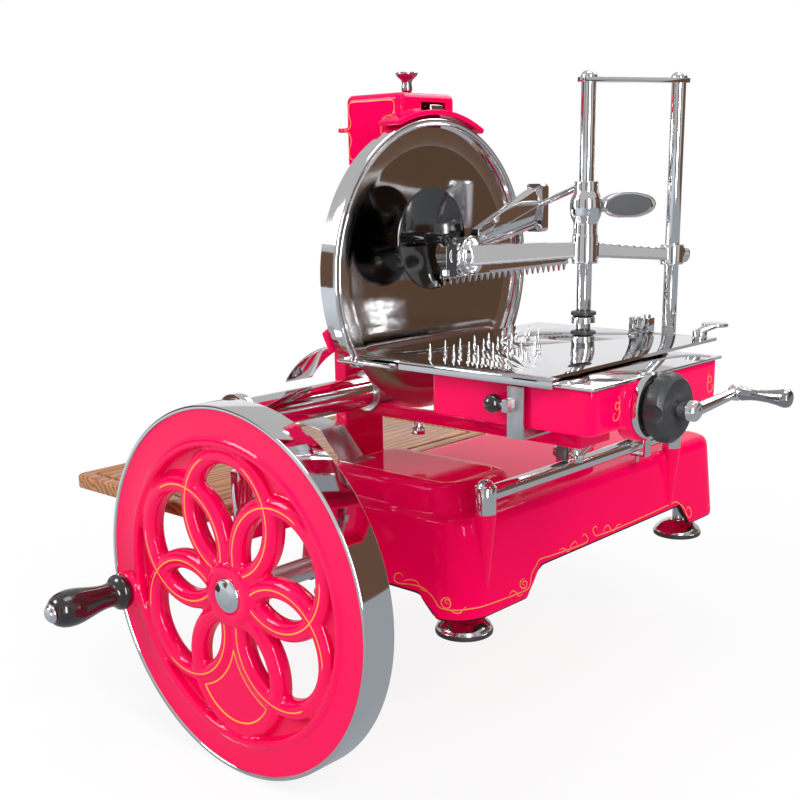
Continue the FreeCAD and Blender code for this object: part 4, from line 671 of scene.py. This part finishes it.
def wheel_casting():
    bm = bmesh.new()
    # petal ribs, barrel shaped in section
    section = []
    for k in range(rib_sides):
        a = 2 * math.pi * k / rib_sides
        c, s = math.cos(a), math.sin(a)
        du = math.copysign(abs(c) ** rib_power, c) * rib_r
        dh = math.copysign(abs(s) ** rib_power, s) * rib_r
        section.append((circle_r + du, rib_z + dh))
    for i in range(petals):
        u, v = petal_centre(i)
        lathe(section, wheel_at(u, v, 0), FORWARD, 120, bm, loop=True)
    # web in the corners between the circles and the rim
    inner, outer = [], []
    for k in range(360):
        a = math.radians(k)
        b = math.radians(min(abs((k - 90 - 60 * i + 180) % 360 - 180) for i in range(petals)))
        r = circle_d * math.cos(b) + math.sqrt(circle_r ** 2 - (circle_d * math.sin(b)) ** 2) - web_sink
        inner.append((r * math.cos(a), r * math.sin(a)))
        outer.append((web_r * math.cos(a), web_r * math.sin(a)))
    slab(inner, outer, web_low, web_high, bm)
    # the bottom circle is filled between its neighbours
    cu, cv = petal_centre(filled_petal)
    outline = []
    steps = 240
    for k in range(steps):
        a = 2 * math.pi * k / steps
        r = circle_r + filling_gap
        for other in (filled_petal - 1, filled_petal + 1):
            ou, ov = petal_centre(other)
            du, dv = ou - cu, ov - cv
            along = du * math.cos(a) + dv * math.sin(a)
            across = abs(du * math.sin(a) - dv * math.cos(a))
            if along > 0 and across < circle_r:
                r = min(r, along - math.sqrt(circle_r ** 2 - across ** 2))
        outline.append((cu + r * math.cos(a), cv + r * math.sin(a)))
    plate(outline, filling_low, filling_high, bm)
    # ridge beside the band, hub and grip boss
    ridge = [(177, 24), (196, 20), (196, 41), (187.5, 43), (186, 45), (180, 45), (177.5, 43)]
    lathe(ridge, wheel_at(0, 0, 0), FORWARD, 240, bm, loop=True)
    hub = [(0, -17), (21, -17), (21, 9), (37, 10), (40, 13), (40, 40), (37, 44), (32, 45), (25, 44.6),
           (21.4, 43.4), (20.8, 42), (0, 42)]
    lathe(eased(hub, 1.5), wheel_at(0, 0, 0), FORWARD, 96, bm)
    boss = [(0, 0), (24, 0), (24, 47), (23, 50), (20.5, 51), (0, 51)]
    lathe(boss, wheel_at(grip_dx, grip_dz, 0), FORWARD, 72, bm)
    piece("flywheel_casting", cast(to_mesh(bm), 1.9, 3), paint_wheel, "wheel", ["flywheel"])


def wheel_rim():
    """Bright band, with the wheel's enamel on its inner walls."""
    profile = [(193, 1), (194, 0), (225, 0), (226, 1), (226, 43.6), (225.3, 45), (222, 45), (221.2, 44.4),
               (220.6, 42.7), (189, 42.7), (188, 43.4), (187, 44.2), (187, 30), (190, 19)]
    mesh = lathe(eased(profile, 0.7, 2), wheel_at(0, 0, 0), FORWARD, 288, loop=True)
    piece("flywheel_rim", mesh, [bright, paint_wheel], "wheel")
    centre = at(wheel_x, 0, wheel_z)
    for face in mesh.polygons:
        far = face.center - centre
        radius = math.hypot(far.x, far.z) / MM
        in_front = face.center.y / MM < wheel_back - paint_depth
        face.material_index = 1 if radius < paint_r and in_front or radius < wall_r else 0


wheel_casting()
wheel_rim()
cap = [(0, 40), (21, 40), (21, 44.4), (20, 45.8), (17, 46.4), (10, 48), (0, 48.6)]
turned("hub_cap", eased(cap, 1.5), wheel_at(0, 0, 0), FORWARD, 96, bright, "wheel")

# grip of the flywheel
grip = [(0, 0), (19.5, 0), (22.4, 1.2), (23.3, 3.2), (23.4, 8), (22, 11.5), (18.4, 15), (16.2, 19),
        (15.4, 24), (15.6, 31), (16.8, 40), (18.8, 50), (21, 60), (22.7, 69), (23.4, 78),
        (22.8, 87), (20.8, 94.5), (17.4, 100.5), (13.4, 103.6), (0, 104)]
grip_base = wheel_at(grip_dx, grip_dz, grip_start)
turned("handle_grip", eased(grip, 2.5), grip_base, FORWARD, 96, black_gloss, "handle")
end = [(0, 104.3), (12, 104.3), (12, 106.5), (11, 108), (8.5, 109.2), (8, 110.6), (3.4, 111.2), (0, 111.4)]
turned("handle_cap", eased(end, 0.8), grip_base, FORWARD, 72, bright, "handle")


# ------------------------------------------------------------ blade and guard

def blade_disc():
    profile = [(0, 0), (139.5, 0), (159.2, 7.2), (159.5, 8), (158.6, 7.95), (139.9, 6.45), (139.1, dish_top)]
    for i in range(1, dish_steps + 1):
        r = dish_r * (1 - i / dish_steps)
        profile.append((r, dish_top - dish_deep * (1 - (r / dish_r) ** 2)))
    mesh = lathe(profile, (blade_x, blade_y, blade_z), ALONG_X, 288)
    piece("blade_finish", mesh, [blade_face, bevel_steel], "blade_unit", ["blade"])
    centre = at(0, blade_y, blade_z)
    for face in mesh.polygons:
        far = face.center - centre
        if math.hypot(far.y, far.z) / MM > bevel_r:
            face.material_index = 1


blade_disc()


def guard_ring():
    """Lipped band round the blade, with a gap at the bottom."""
    profile = [(161, 0.4), (161.4, 0), (164.2, 0), (164.8, 0.6), (165, 14.4), (169, 15.2), (170, 16.4),
               (170, 25.4)]
    profile += arc(166.5, 25.5, 3.5, 8, 88, 6) + [(165.2, 28.4), (164, 28), (162.8, 28.6)]
    profile += arc(162.2, 27.7, 1.3, 80, 180, 5) + [(161, 26)]
    bm = bmesh.new()
    lathe(profile, (ring_back, blade_y, blade_z), ALONG_X, 256, bm, loop=True)
    geometry = bm.verts[:] + bm.edges[:] + bm.faces[:]
    bmesh.ops.bisect_plane(bm, geom=geometry, plane_co=at(0, 0, ring_cut_z), plane_no=EZ, clear_inner=True)
    bmesh.ops.holes_fill(bm, edges=[e for e in bm.edges if e.is_boundary])
    piece("guard_ring_finish", to_mesh(bm), bright, "base", ["guard_ring"])


guard_ring()


# ------------------------------------------------------------ body

def casting(node, voxel, soften, material):
    mesh = cast(merged(node), voxel, soften)
    return piece(node + "_finish", mesh, material, nodes[node]["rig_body"], [node])


base_body = casting("base_casting", 3.4, 8, paint_base)
casting("blade_frame", 2.3, 5, paint)
sharpener_body = casting("sharpener_box", 1.3, 4, paint)
carriage_body = casting("carriage_casting", 2.2, 4, paint)
casting("clamp_arm", 1.0, 5, bright)
casting("feed_crank", 0.8, 4, bright)


def smooth_path(line, step=1.6):
    """Points about a step apart on a smooth curve through the given ones."""
    knots = [Vector(q) for q in line]
    knots = [knots[0]] + knots + [knots[-1]]
    path = []
    for a, b, c, d in zip(knots, knots[1:], knots[2:], knots[3:]):
        steps = max(2, int((c - b).length / step))
        for i in range(steps):
            t = i / steps
            path.append(0.5 * (2 * b + (c - a) * t + (2 * a - 5 * b + 4 * c - d) * t * t
                               + (3 * b - a - 3 * c + d) * t ** 3))
    path.append(knots[-1])
    return path


def ribbons(name, ground, lines, body, width=1.7):
    """Painted gold lines that lie on another piece. Each line is a list of points near its surface."""
    # across the line, as a share of its half width, and above the enamel
    section = ((-1, -0.4), (-0.7, 0.14), (0.7, 0.14), (1, -0.4))
    mesh = ground.data
    tree = BVHTree.FromPolygons([v.co for v in mesh.vertices], [tuple(p.vertices) for p in mesh.polygons])
    bm = bmesh.new()
    for line in lines:
        spots = []
        for point in smooth_path(line):
            spot, normal, face, reach = tree.find_nearest(point * MM)
            spots.append((spot / MM, normal))
        rows = []
        last = len(spots) - 1
        for i, (spot, normal) in enumerate(spots):
            along = spots[min(i + 1, last)][0] - spots[max(i - 1, 0)][0]
            if along.length < 1e-4:
                continue
            across = normal.cross(along).normalized()
            # both ends run out thin
            half = width / 2 * min(1.0, 0.25 + i / 6, 0.25 + (last - i) / 6)
            row = []
            for shift, rise in section:
                row.append(bm.verts.new((spot + across * half * shift + normal * rise) * MM))
            rows.append(row)
        for low, high in zip(rows, rows[1:]):
            for k in range(len(section)):
                m = (k + 1) % len(section)
                bm.faces.new([low[k], low[m], high[m], high[k]])
        bm.faces.new(rows[0][::-1])
        bm.faces.new(rows[-1])
    piece(name, to_mesh(bm), gold_paint, body)


# line of the base from the middle of its end, round the corner and along the side
end_line = [(54, -315, 75), (52, -315, 78), (45, -315, 77), (41, -315, 72), (42, -315, 67), (49, -316, 65),
            (70, -315, 68), (88, -315, 68), (97, -316, 64), (105, -316, 59), (112, -316, 51), (116, -316, 49),
            (123, -313, 48), (134, -307, 48), (144, -296, 49), (148, -288, 49), (151, -276, 49)]
side_line = [(152, -257, 48), (152, -217, 46), (152, -193, 46), (152, -185, 50), (151, -183, 58),
             (151, -179, 65), (150, -171, 71), (150, -162, 77), (150, -140, 76), (150, -96, 74),
             (150, -63, 73), (150, -54, 76), (149, -56, 82), (149, -62, 86), (149, -66, 83)]
end_scrolls = [
    [(57, -315, 69), (64, -315, 73), (72, -315, 74), (79, -315, 73), (83, -315, 68), (90, -316, 65),
     (96, -316, 65)],
    [(125, -312, 55), (121, -313, 57), (121, -313, 60), (125, -311, 60), (127, -311, 56), (126, -312, 51),
     (120, -314, 50), (116, -315, 55), (117, -314, 60), (122, -312, 63), (127, -310, 60)],
    [(126, -312, 48), (132, -309, 45), (137, -305, 45), (139, -302, 49), (141, -299, 52)],
]
side_scrolls = [
    [(151, -197, 53), (151, -201, 56), (151, -197, 58), (151, -192, 56), (152, -193, 50), (152, -201, 50),
     (151, -206, 56), (151, -202, 61), (151, -195, 61)],
    [(152, -228, 50), (151, -220, 52), (152, -213, 47), (152, -209, 42), (152, -200, 43)],
    [(150, -120, 78), (150, -114, 79), (150, -107, 77), (150, -99, 71), (150, -95, 75), (150, -91, 79),
     (149, -83, 81), (150, -78, 75)],
    [(149, -30, 86), (149, -34, 90), (149, -40, 88), (149, -40, 83), (150, -34, 77), (150, -24, 76),
     (150, 0, 75), (150, 52, 75), (150, 124, 76), (150, 161, 77), (150, 178, 77), (150, 190, 71),
     (151, 202, 62), (151, 209, 52), (152, 217, 44), (152, 223, 49), (151, 220, 58), (151, 211, 61),
     (151, 210, 56)],
    [(150, -16, 77), (149, -12, 83), (149, -3, 84), (150, 3, 76), (150, 11, 74), (150, 20, 79),
     (150, 28, 78)],
]
lines = []
for sx in (1, -1):
    lines.append([(sx * x, y, z) for x, y, z in end_line + side_line])
    lines.append([(sx * x, -y, z) for x, y, z in end_line])
    for scroll in end_scrolls:
        lines += [[(sx * x, sy * y, z) for x, y, z in scroll] for sy in (1, -1)]
    lines += [[(sx * x, y, z) for x, y, z in scroll] for scroll in side_scrolls]
# rounded outline on the dome
loop = []
for cx, cy, start in ((74, -198, 0), (-62, -198, 90), (-62, -254, 180), (74, -254, 270)):
    loop += [(x, y, dome_top) for x, y in arc(cx, cy, dome_round, start, start + 90, 6)]
lines.append(loop + loop[:1])
ribbons("base_gold_lines", base_body, lines, "base")

box_line = [(-39, 599), (-30, 594), (-28, 586), (-32, 577), (-31, 569), (-24, 566), (-8, 566), (10, 566),
            (17, 568), (20, 575), (20, 590), (20, 604), (24, 611), (36, 613), (40, 618), (40, 626), (34, 630),
            (0, 630), (-24, 630), (-31, 626), (-31, 616), (-28, 608), (-30, 602), (-39, 599)]
ribbons("sharpener_gold_lines", sharpener_body, [[(x, -300, z) for x, z in box_line]], "base", 1.4)

# scrolls on the table side of the tray
curl = [(0, 14), (3, 8), (1, 2), (-3, 1), (-5, 5), (-2, 8), (2, 5), (3, -3), (-1, -9), (-7, -8), (-8, -3),
        (-4, -2)]
scrolls = []
for middle, side in ((-381, 1), (-205, -1)):
    scrolls.append([(391, middle + side * u, 333 + v) for u, v in curl])
ribbons("tray_gold_scrolls", carriage_body, scrolls, "carriage", 1.1)

pillars = bmesh.new()
for y in (-272.0, 159.0):
    lathe(eased([(0, 72), (3.2, 74), (13.3, 163), (0, 163.4)], 1), (rod_x, y, 0), UPWARD, 48, pillars)
piece("rod_pillars", to_mesh(pillars), paint, "base")

bells = bmesh.new()
bell = [(0, 0), (34, 0), (35.6, 1), (36, 2.6), (36, 6), (34.6, 7), (34.2, 9.4), (32.8, 11.6), (29, 15),
        (25.6, 18.4), (21, 21), (14.6, 22.6), (13, 24), (0, 24)]
for sx in (-1, 1):
    for sy in (-1, 1):
        lathe(eased(bell, 1.2), (sx * foot_x, sy * foot_y, 0), UPWARD, 96, bells)
feet = to_mesh(bells)
piece("foot_bells_finish", feet, [soft_chrome, knob_rubber], "base", ["foot_bells"])
for face in feet.polygons:
    face.material_index = 1 if face.center.z < rubber_top * MM else 0

rod = [(0, 0), (9.6, 0), (10, 0.4), (10, 430.6), (9.6, 431), (0, 431)]
turned("front_rod", rod, (rod_x, -272, rod_z), ALONG_Y, 64, bright, "base")
bar = [(0, 1.2), (5, 1.2), (6.4, 0), (19.6, 0), (21, 1.4), (21, 736.6), (19.6, 738), (0, 738)]
turned("guide_bar", eased(bar, 0.5), (bar_x, -440, bar_z), ALONG_Y, 96, bright, "base")
dress("rod_sockets", bright, 0.7)
dress("bar_end_post", bright, 0.9)
dress("foot_stems", plain_steel, 0.4)
dress("shaft_flange", bright, 0.6)
dress("drive_chain", gear_steel)
dress("slice_deflector", bright, 0.5)
dress("drip_plate", plain_steel, 0.4)
dress("slice_board", board_wood, 1.4)

# drive
dress("flywheel_shaft", plain_steel, 0.5)
for node in ("shaft_bevel_gear", "cross_bevel_gear", "lower_sprocket", "upper_sprocket", "lay_gear",
             "blade_gear"):
    dress(node, gear_steel, 0.25)
for node in ("cross_shaft", "lay_shaft", "blade_shaft", "handle_spindle"):
    dress(node, plain_steel, 0.5)

# sharpener
knob = [(0, 626), (7, 626), (7, 629), (5, 629.4), (5, 640), (6.2, 641.4), (6.4, 644), (5.6, 650), (7, 653.4),
        (11.4, 657), (13, 659.4), (13, 660.6), (12, 661.6), (9, 660.4), (5, 659), (0, 658.6)]
turned("sharpener_knob", eased(knob, 0.8), (23, blade_y, 0), UPWARD, 64, dark_chrome, "push_knob")
dress("sharpener_lever", soft_chrome, 0.6)
dress("sharpening_stone", grey_iron, 0.4)

# carriage
dress("carriage_shoe", plain_steel, 0.5)
dress("carriage_bolts", bright, 0.6)
dress("carriage_bracket", soft_chrome, 0.7)
dress("carriage_strut", soft_chrome, 0.7)
dress("carriage_plate", bright, 0.5)
dress("front_roller", grey_iron, 0.5)
dress("rear_roller", grey_iron, 0.5)
bezel = [(6, 0.2), (31.4, 0), (32.5, 1), (32.5, 5.8), (31.2, 7), (27, 7), (26, 6), (26, 3), (6, 3)]
turned("dial_bezel", bezel, (395, screw_y, screw_z), ALONG_X, 96, bright, "carriage", loop=True)
dress("thickness_dial", knob_rubber, 1.0)
dress("release_strap", plain_steel, 0.7)
ball = [(0, -9.5)] + arc(0, 0, 9.5, -84, 84, 20) + [(0, 9.5)]
turned("ball_knob", ball, (287, -437, 336), ALONG_X, 48, black_gloss, "release")

hold = [(0, 0), (6.6, 0), (7.2, 0.8), (6.4, 5), (5.6, 12), (5.5, 18), (6, 27), (7.4, 36), (8.8, 42), (9, 45),
        (8, 48.6), (5, 50), (0, 50)]
hold_base = crank_pin + Vector((6.5, 0, 0))
turned("crank_grip", eased(hold, 1.4), hold_base, ALONG_X, 64, dark_chrome, "crank_handle")


def lead_screw():
    bm = bmesh.new()
    core = [(0, 0), (4.4, 0.4), (4.4, 195), (5, 196), (5, 232.4), (4.6, 233), (0, 233)]
    lathe(core, (200, screw_y, screw_z), ALONG_X, 40, bm)
    turns, steps = 58, 16
    thread_x, thread_length, thread_r = 202, 190, 4.3
    helix = []
    for i in range(turns * steps + 1):
        a = 2 * math.pi * i / steps
        helix.append((thread_x + thread_length * i / (turns * steps), screw_y + thread_r * math.cos(a),
                      screw_z + thread_r * math.sin(a)))
    tube(helix, 0.7, 5, bm)
    piece("lead_screw_finish", to_mesh(bm), plain_steel, "screw_crank", ["lead_screw"])


lead_screw()

# table
dress("meat_table", table_steel, 0.6)
spike = [(0, 0), (2, 0), (2, 0.6), (1.1, 2.6), (0.95, 4.2), (1.25, 5.6), (1.2, 7), (0.15, 12), (0, 12)]
pin_pitch = 25.0
places = []
for x, y, count in ((164.0, -386.0, 8), (189.0, -377.0, 7), (214.0, -368.0, 5)):
    places += [(x, y + pin_pitch * i, table_z) for i in range(count)]
repeat("table_pins", lathe(spike, (0, 0, 0), UPWARD, 20), places, bright, "table")

posts = bmesh.new()
post = [(0, 363), (6.4, 363), (column_r, table_z), (column_r, 640), (5, 640), (5, 645), (0, 645.4)]
for x, y in (column_near, column_far):
    lathe(post, (x, y, 0), UPWARD, 48, posts)
collar = [(column_r, 0), (12.6, 0), (13, 0.5), (13, 6), (12.2, 7.4), (10.2, 8.8), (column_r, 9)]
for rise in (0, 21):
    lathe(collar, (*column_near, table_z + rise), UPWARD, 64, posts, loop=True)
piece("clamp_columns_finish", to_mesh(posts), bright, "table", ["clamp_columns"])
rings = bmesh.new()
for low, high in ((9, 12.5), (30, 34)):
    ring = [(column_r, low), (13.2, low), (13.8, low + 0.7), (13.8, high - 0.8), (13, high), (column_r, high)]
    lathe(ring, (*column_near, table_z), UPWARD, 64, rings, loop=True)
piece("collar_rings", to_mesh(rings), knob_rubber, "table")
dress("column_crossbar", bright, 0.8)
dress("table_block", bright, 0.6)
dress("thumb_lever", bright, 0.6)

# clamp
dress("comb", bright, 0.25)
# the disc's near-black chrome is painted shade
dress("clamp_disc", disc_shaded_chrome, 0.6)
dress("clamp_fin", bright, 1.0)
dress("clamp_lever", lever_finish("grip_plates"), 0.5)


# ------------------------------------------------------------ stage

WHITE = (1, 1, 1, 1)
BROWN = (0.15, 0.085, 0.055)
FLOOR_Z = -0.153
FLOOR_SIZE = 14
FLOOR_TONE = (0.86, 0.86, 0.86, 1)
FLOOR_SHADE = 0.86        # how much of the camera's white glows by itself near the object
SHADE_END, WHITE_FROM = 0.55, 1.35
FLOOR_MIRROR = 0.40       # how bright the floor looks in a reflection, near the object
FLOOR_FAR = 0.8           # and far off to the left
FLOOR_TINT = (0.93, 1, 1.07, 1)
NEAR_END, FAR_FROM = -0.9, -2.6
WORLD_DIFFUSE = (0.50, 0.50, 0.51, 1)
WORLD_GLOSSY = (0.56, 0.55, 0.55, 1)
MIDDLE = Vector((0, -0.1, 0.25))
CAMERA_AT = (0.9636, -1.3120, 0.5530)


def blank_material(name):
    material = bpy.data.materials.new(name)
    material.use_nodes = True
    tree = material.node_tree
    tree.nodes.clear()
    return material, tree


def emission(tree, colour, level):
    node = tree.nodes.new("ShaderNodeEmission")
    node.inputs[0].default_value = colour
    node.inputs[1].default_value = level
    return node.outputs[0]


def glow_material(name, colour, strength):
    material, tree = blank_material(name)
    flat = emission(tree, tuple(colour) + (1,), strength)
    out = tree.nodes.new("ShaderNodeOutputMaterial")
    tree.links.new(flat, out.inputs[0])
    return material


def floor_material():
    """Pale floor that the camera sees as white, apart from the object's soft shadow."""
    material, tree = blank_material("floor_white")
    link = tree.links.new

    def mixed(factor, first, second):
        node = tree.nodes.new("ShaderNodeMixShader")
        for slot, source in zip(node.inputs, (factor, first, second)):
            link(source, slot)
        return node.outputs[0]

    def ranged(value, start, end, low, high):
        node = tree.nodes.new("ShaderNodeMapRange")
        for key, number in (("From Min", start), ("From Max", end), ("To Min", low), ("To Max", high)):
            node.inputs[key].default_value = number
        link(value, node.inputs["Value"])
        return node.outputs[0]

    def combined(operation, first, second):
        node = tree.nodes.new("ShaderNodeMath")
        node.operation = operation
        link(first, node.inputs[0])
        link(second, node.inputs[1])
        return node.outputs[0]

    path = tree.nodes.new("ShaderNodeLightPath")
    matt = tree.nodes.new("ShaderNodeBsdfDiffuse")
    matt.inputs[0].default_value = FLOOR_TONE
    place = tree.nodes.new("ShaderNodeTexCoord")
    # away from the object the camera sees plain white
    reach = tree.nodes.new("ShaderNodeVectorMath")
    reach.operation = "LENGTH"
    link(place.outputs["Object"], reach.inputs[0])
    fade = ranged(reach.outputs["Value"], SHADE_END, WHITE_FROM, FLOOR_SHADE, 1.0)
    part = combined("MULTIPLY", path.outputs["Is Camera Ray"], fade)
    seen = mixed(part, matt.outputs[0], emission(tree, WHITE, 1.0))
    # in reflections the floor is dark at hand and bright far off to the left
    split = tree.nodes.new("ShaderNodeSeparateXYZ")
    link(place.outputs["Object"], split.inputs[0])
    slope = ranged(combined("ADD", split.outputs[0], split.outputs[1]), NEAR_END, FAR_FROM, 0.0, 1.0)
    ground = mixed(slope, emission(tree, FLOOR_TINT, FLOOR_MIRROR), emission(tree, FLOOR_TINT, FLOOR_FAR))
    out = tree.nodes.new("ShaderNodeOutputMaterial")
    link(mixed(path.outputs["Is Glossy Ray"], seen, ground), out.inputs[0])
    return material


def quad(name, centre, across, up, wide, high, material):
    """Flat rectangle of the stage."""
    across, up = Vector(across).normalized(), Vector(up).normalized()
    c = Vector(centre)
    signs = ((-1, -1), (1, -1), (1, 1), (-1, 1))
    corners = [c + across * (wide / 2 * s) + up * (high / 2 * t) for s, t in signs]
    mesh = bpy.data.meshes.new(name)
    mesh.from_pydata(corners, [], [(0, 1, 2, 3)])
    mesh.materials.append(material)
    obj = bpy.data.objects.new(name, mesh)
    bpy.context.scene.collection.objects.link(obj)
    obj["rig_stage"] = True
    return obj


def area_light(name, place, target, size, power):
    """Square lamp that reflections don't see."""
    light = bpy.data.lights.new(name, "AREA")
    light.shape = "RECTANGLE"
    light.size, light.size_y = size, size
    light.energy = power
    obj = bpy.data.objects.new(name, light)
    obj.location = place
    obj.rotation_euler = (Vector(target) - Vector(place)).to_track_quat("-Z", "Y").to_euler()
    obj.visible_glossy = False
    bpy.context.scene.collection.objects.link(obj)


quad("floor", (0, 0, FLOOR_Z), ALONG_X, ALONG_Y, FLOOR_SIZE, FLOOR_SIZE, floor_material())

# camera
yaw, pitch, roll = math.radians(42.4), math.radians(14.8), math.radians(-1.0)
back = Vector((math.sin(yaw) * math.cos(pitch), -math.cos(yaw) * math.cos(pitch), math.sin(pitch)))
level = Vector((math.cos(yaw), math.sin(yaw), 0))
lift = back.cross(level)
right = level * math.cos(roll) + lift * math.sin(roll)
upward = lift * math.cos(roll) - level * math.sin(roll)
camera = bpy.data.cameras.new("camera")
camera.lens = 52.66
camera.sensor_width = 36.0
camera.shift_y = 0.1
viewer = bpy.data.objects.new("camera", camera)
spin = Matrix((right, upward, back)).transposed().to_4x4()
viewer.matrix_world = Matrix.Translation(CAMERA_AT) @ spin
bpy.context.scene.collection.objects.link(viewer)
bpy.context.scene.camera = viewer

area_light("key_right", (2.6, -1.2, 2.2), (0.1, -0.1, 0.2), 1.6, 70)
area_light("key_left", (-1.2, -2.6, 2.0), (0, -0.1, 0.2), 1.6, 44)
area_light("top_soft", (0.2, 0.2, 2.8), (0, -0.1, 0.2), 2.2, 22)


def panel(name, bearing, height, distance, wide, high, colour, strength):
    """Upright or tilted panel that only reflections see, facing the object. Angles are in degrees."""
    a, e = math.radians(bearing), math.radians(height)
    away = Vector((math.cos(a) * math.cos(e), math.sin(a) * math.cos(e), math.sin(e)))
    across = Vector((-math.sin(a), math.cos(a), 0))
    glow = glow_material(name, colour, strength)
    card = quad(name, MIDDLE + away * distance, across, away.cross(across), wide, high, glow)
    for kind in ("camera", "shadow", "diffuse", "transmission"):
        setattr(card, "visible_" + kind, False)


panel("strip_right", -33, 12, 2.8, 0.34, 1.9, (1, 1, 1), 22)
panel("soft_right", 85, 46, 3.0, 2.6, 0.75, (1, 1, 1), 6)
panel("soft_left", -128, 30, 3.0, 0.9, 1.2, (1, 1, 1), 12)
panel("soft_top", 0, 84, 3.0, 1.4, 1.4, (1, 1, 1), 4)
panel("wall_brown", 46, 13, 4.0, 4.6, 3.0, BROWN, 1.0)
panel("wall_brown_left", -143, 3, 3.8, 2.2, 1.4, BROWN, 1.0)
panel("backdrop", 132, 8, 4.2, 3.6, 1.6, (0.9, 0.9, 0.92), 1.0)
panel("dark_left", -104, 8, 3.6, 0.5, 2.2, (0.05, 0.05, 0.055), 1.0)
panel("dark_middle", -58, 6, 3.6, 0.7, 1.8, (0.16, 0.14, 0.13), 1.0)
panel("dark_right", -12, 8, 3.6, 0.35, 2.2, (0.06, 0.055, 0.05), 1.0)
panel("dark_far", 176, 10, 3.6, 1.0, 2.2, (0.10, 0.09, 0.085), 1.0)

# white to the camera, and a grey of its own to diffuse and to glossy rays
world = bpy.data.worlds.new("world")
bpy.context.scene.world = world
world.use_nodes = True
tree = world.node_tree
tree.nodes.clear()


def world_mix(factor, first, second):
    node = tree.nodes.new("ShaderNodeMix")
    node.data_type = "RGBA"
    tree.links.new(factor, node.inputs[0])
    for slot, colour in ((node.inputs[6], first), (node.inputs[7], second)):
        if isinstance(colour, tuple):
            slot.default_value = colour
        else:
            tree.links.new(colour, slot)
    return node.outputs[2]


path = tree.nodes.new("ShaderNodeLightPath")
around = world_mix(path.outputs["Is Glossy Ray"], WORLD_DIFFUSE, WORLD_GLOSSY)
sky = tree.nodes.new("ShaderNodeBackground")
out = tree.nodes.new("ShaderNodeOutputWorld")
tree.links.new(world_mix(path.outputs["Is Camera Ray"], around, WHITE), sky.inputs[0])
tree.links.new(sky.outputs[0], out.inputs[0])

bpy.context.scene.view_settings.view_transform = "Standard"

low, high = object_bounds()
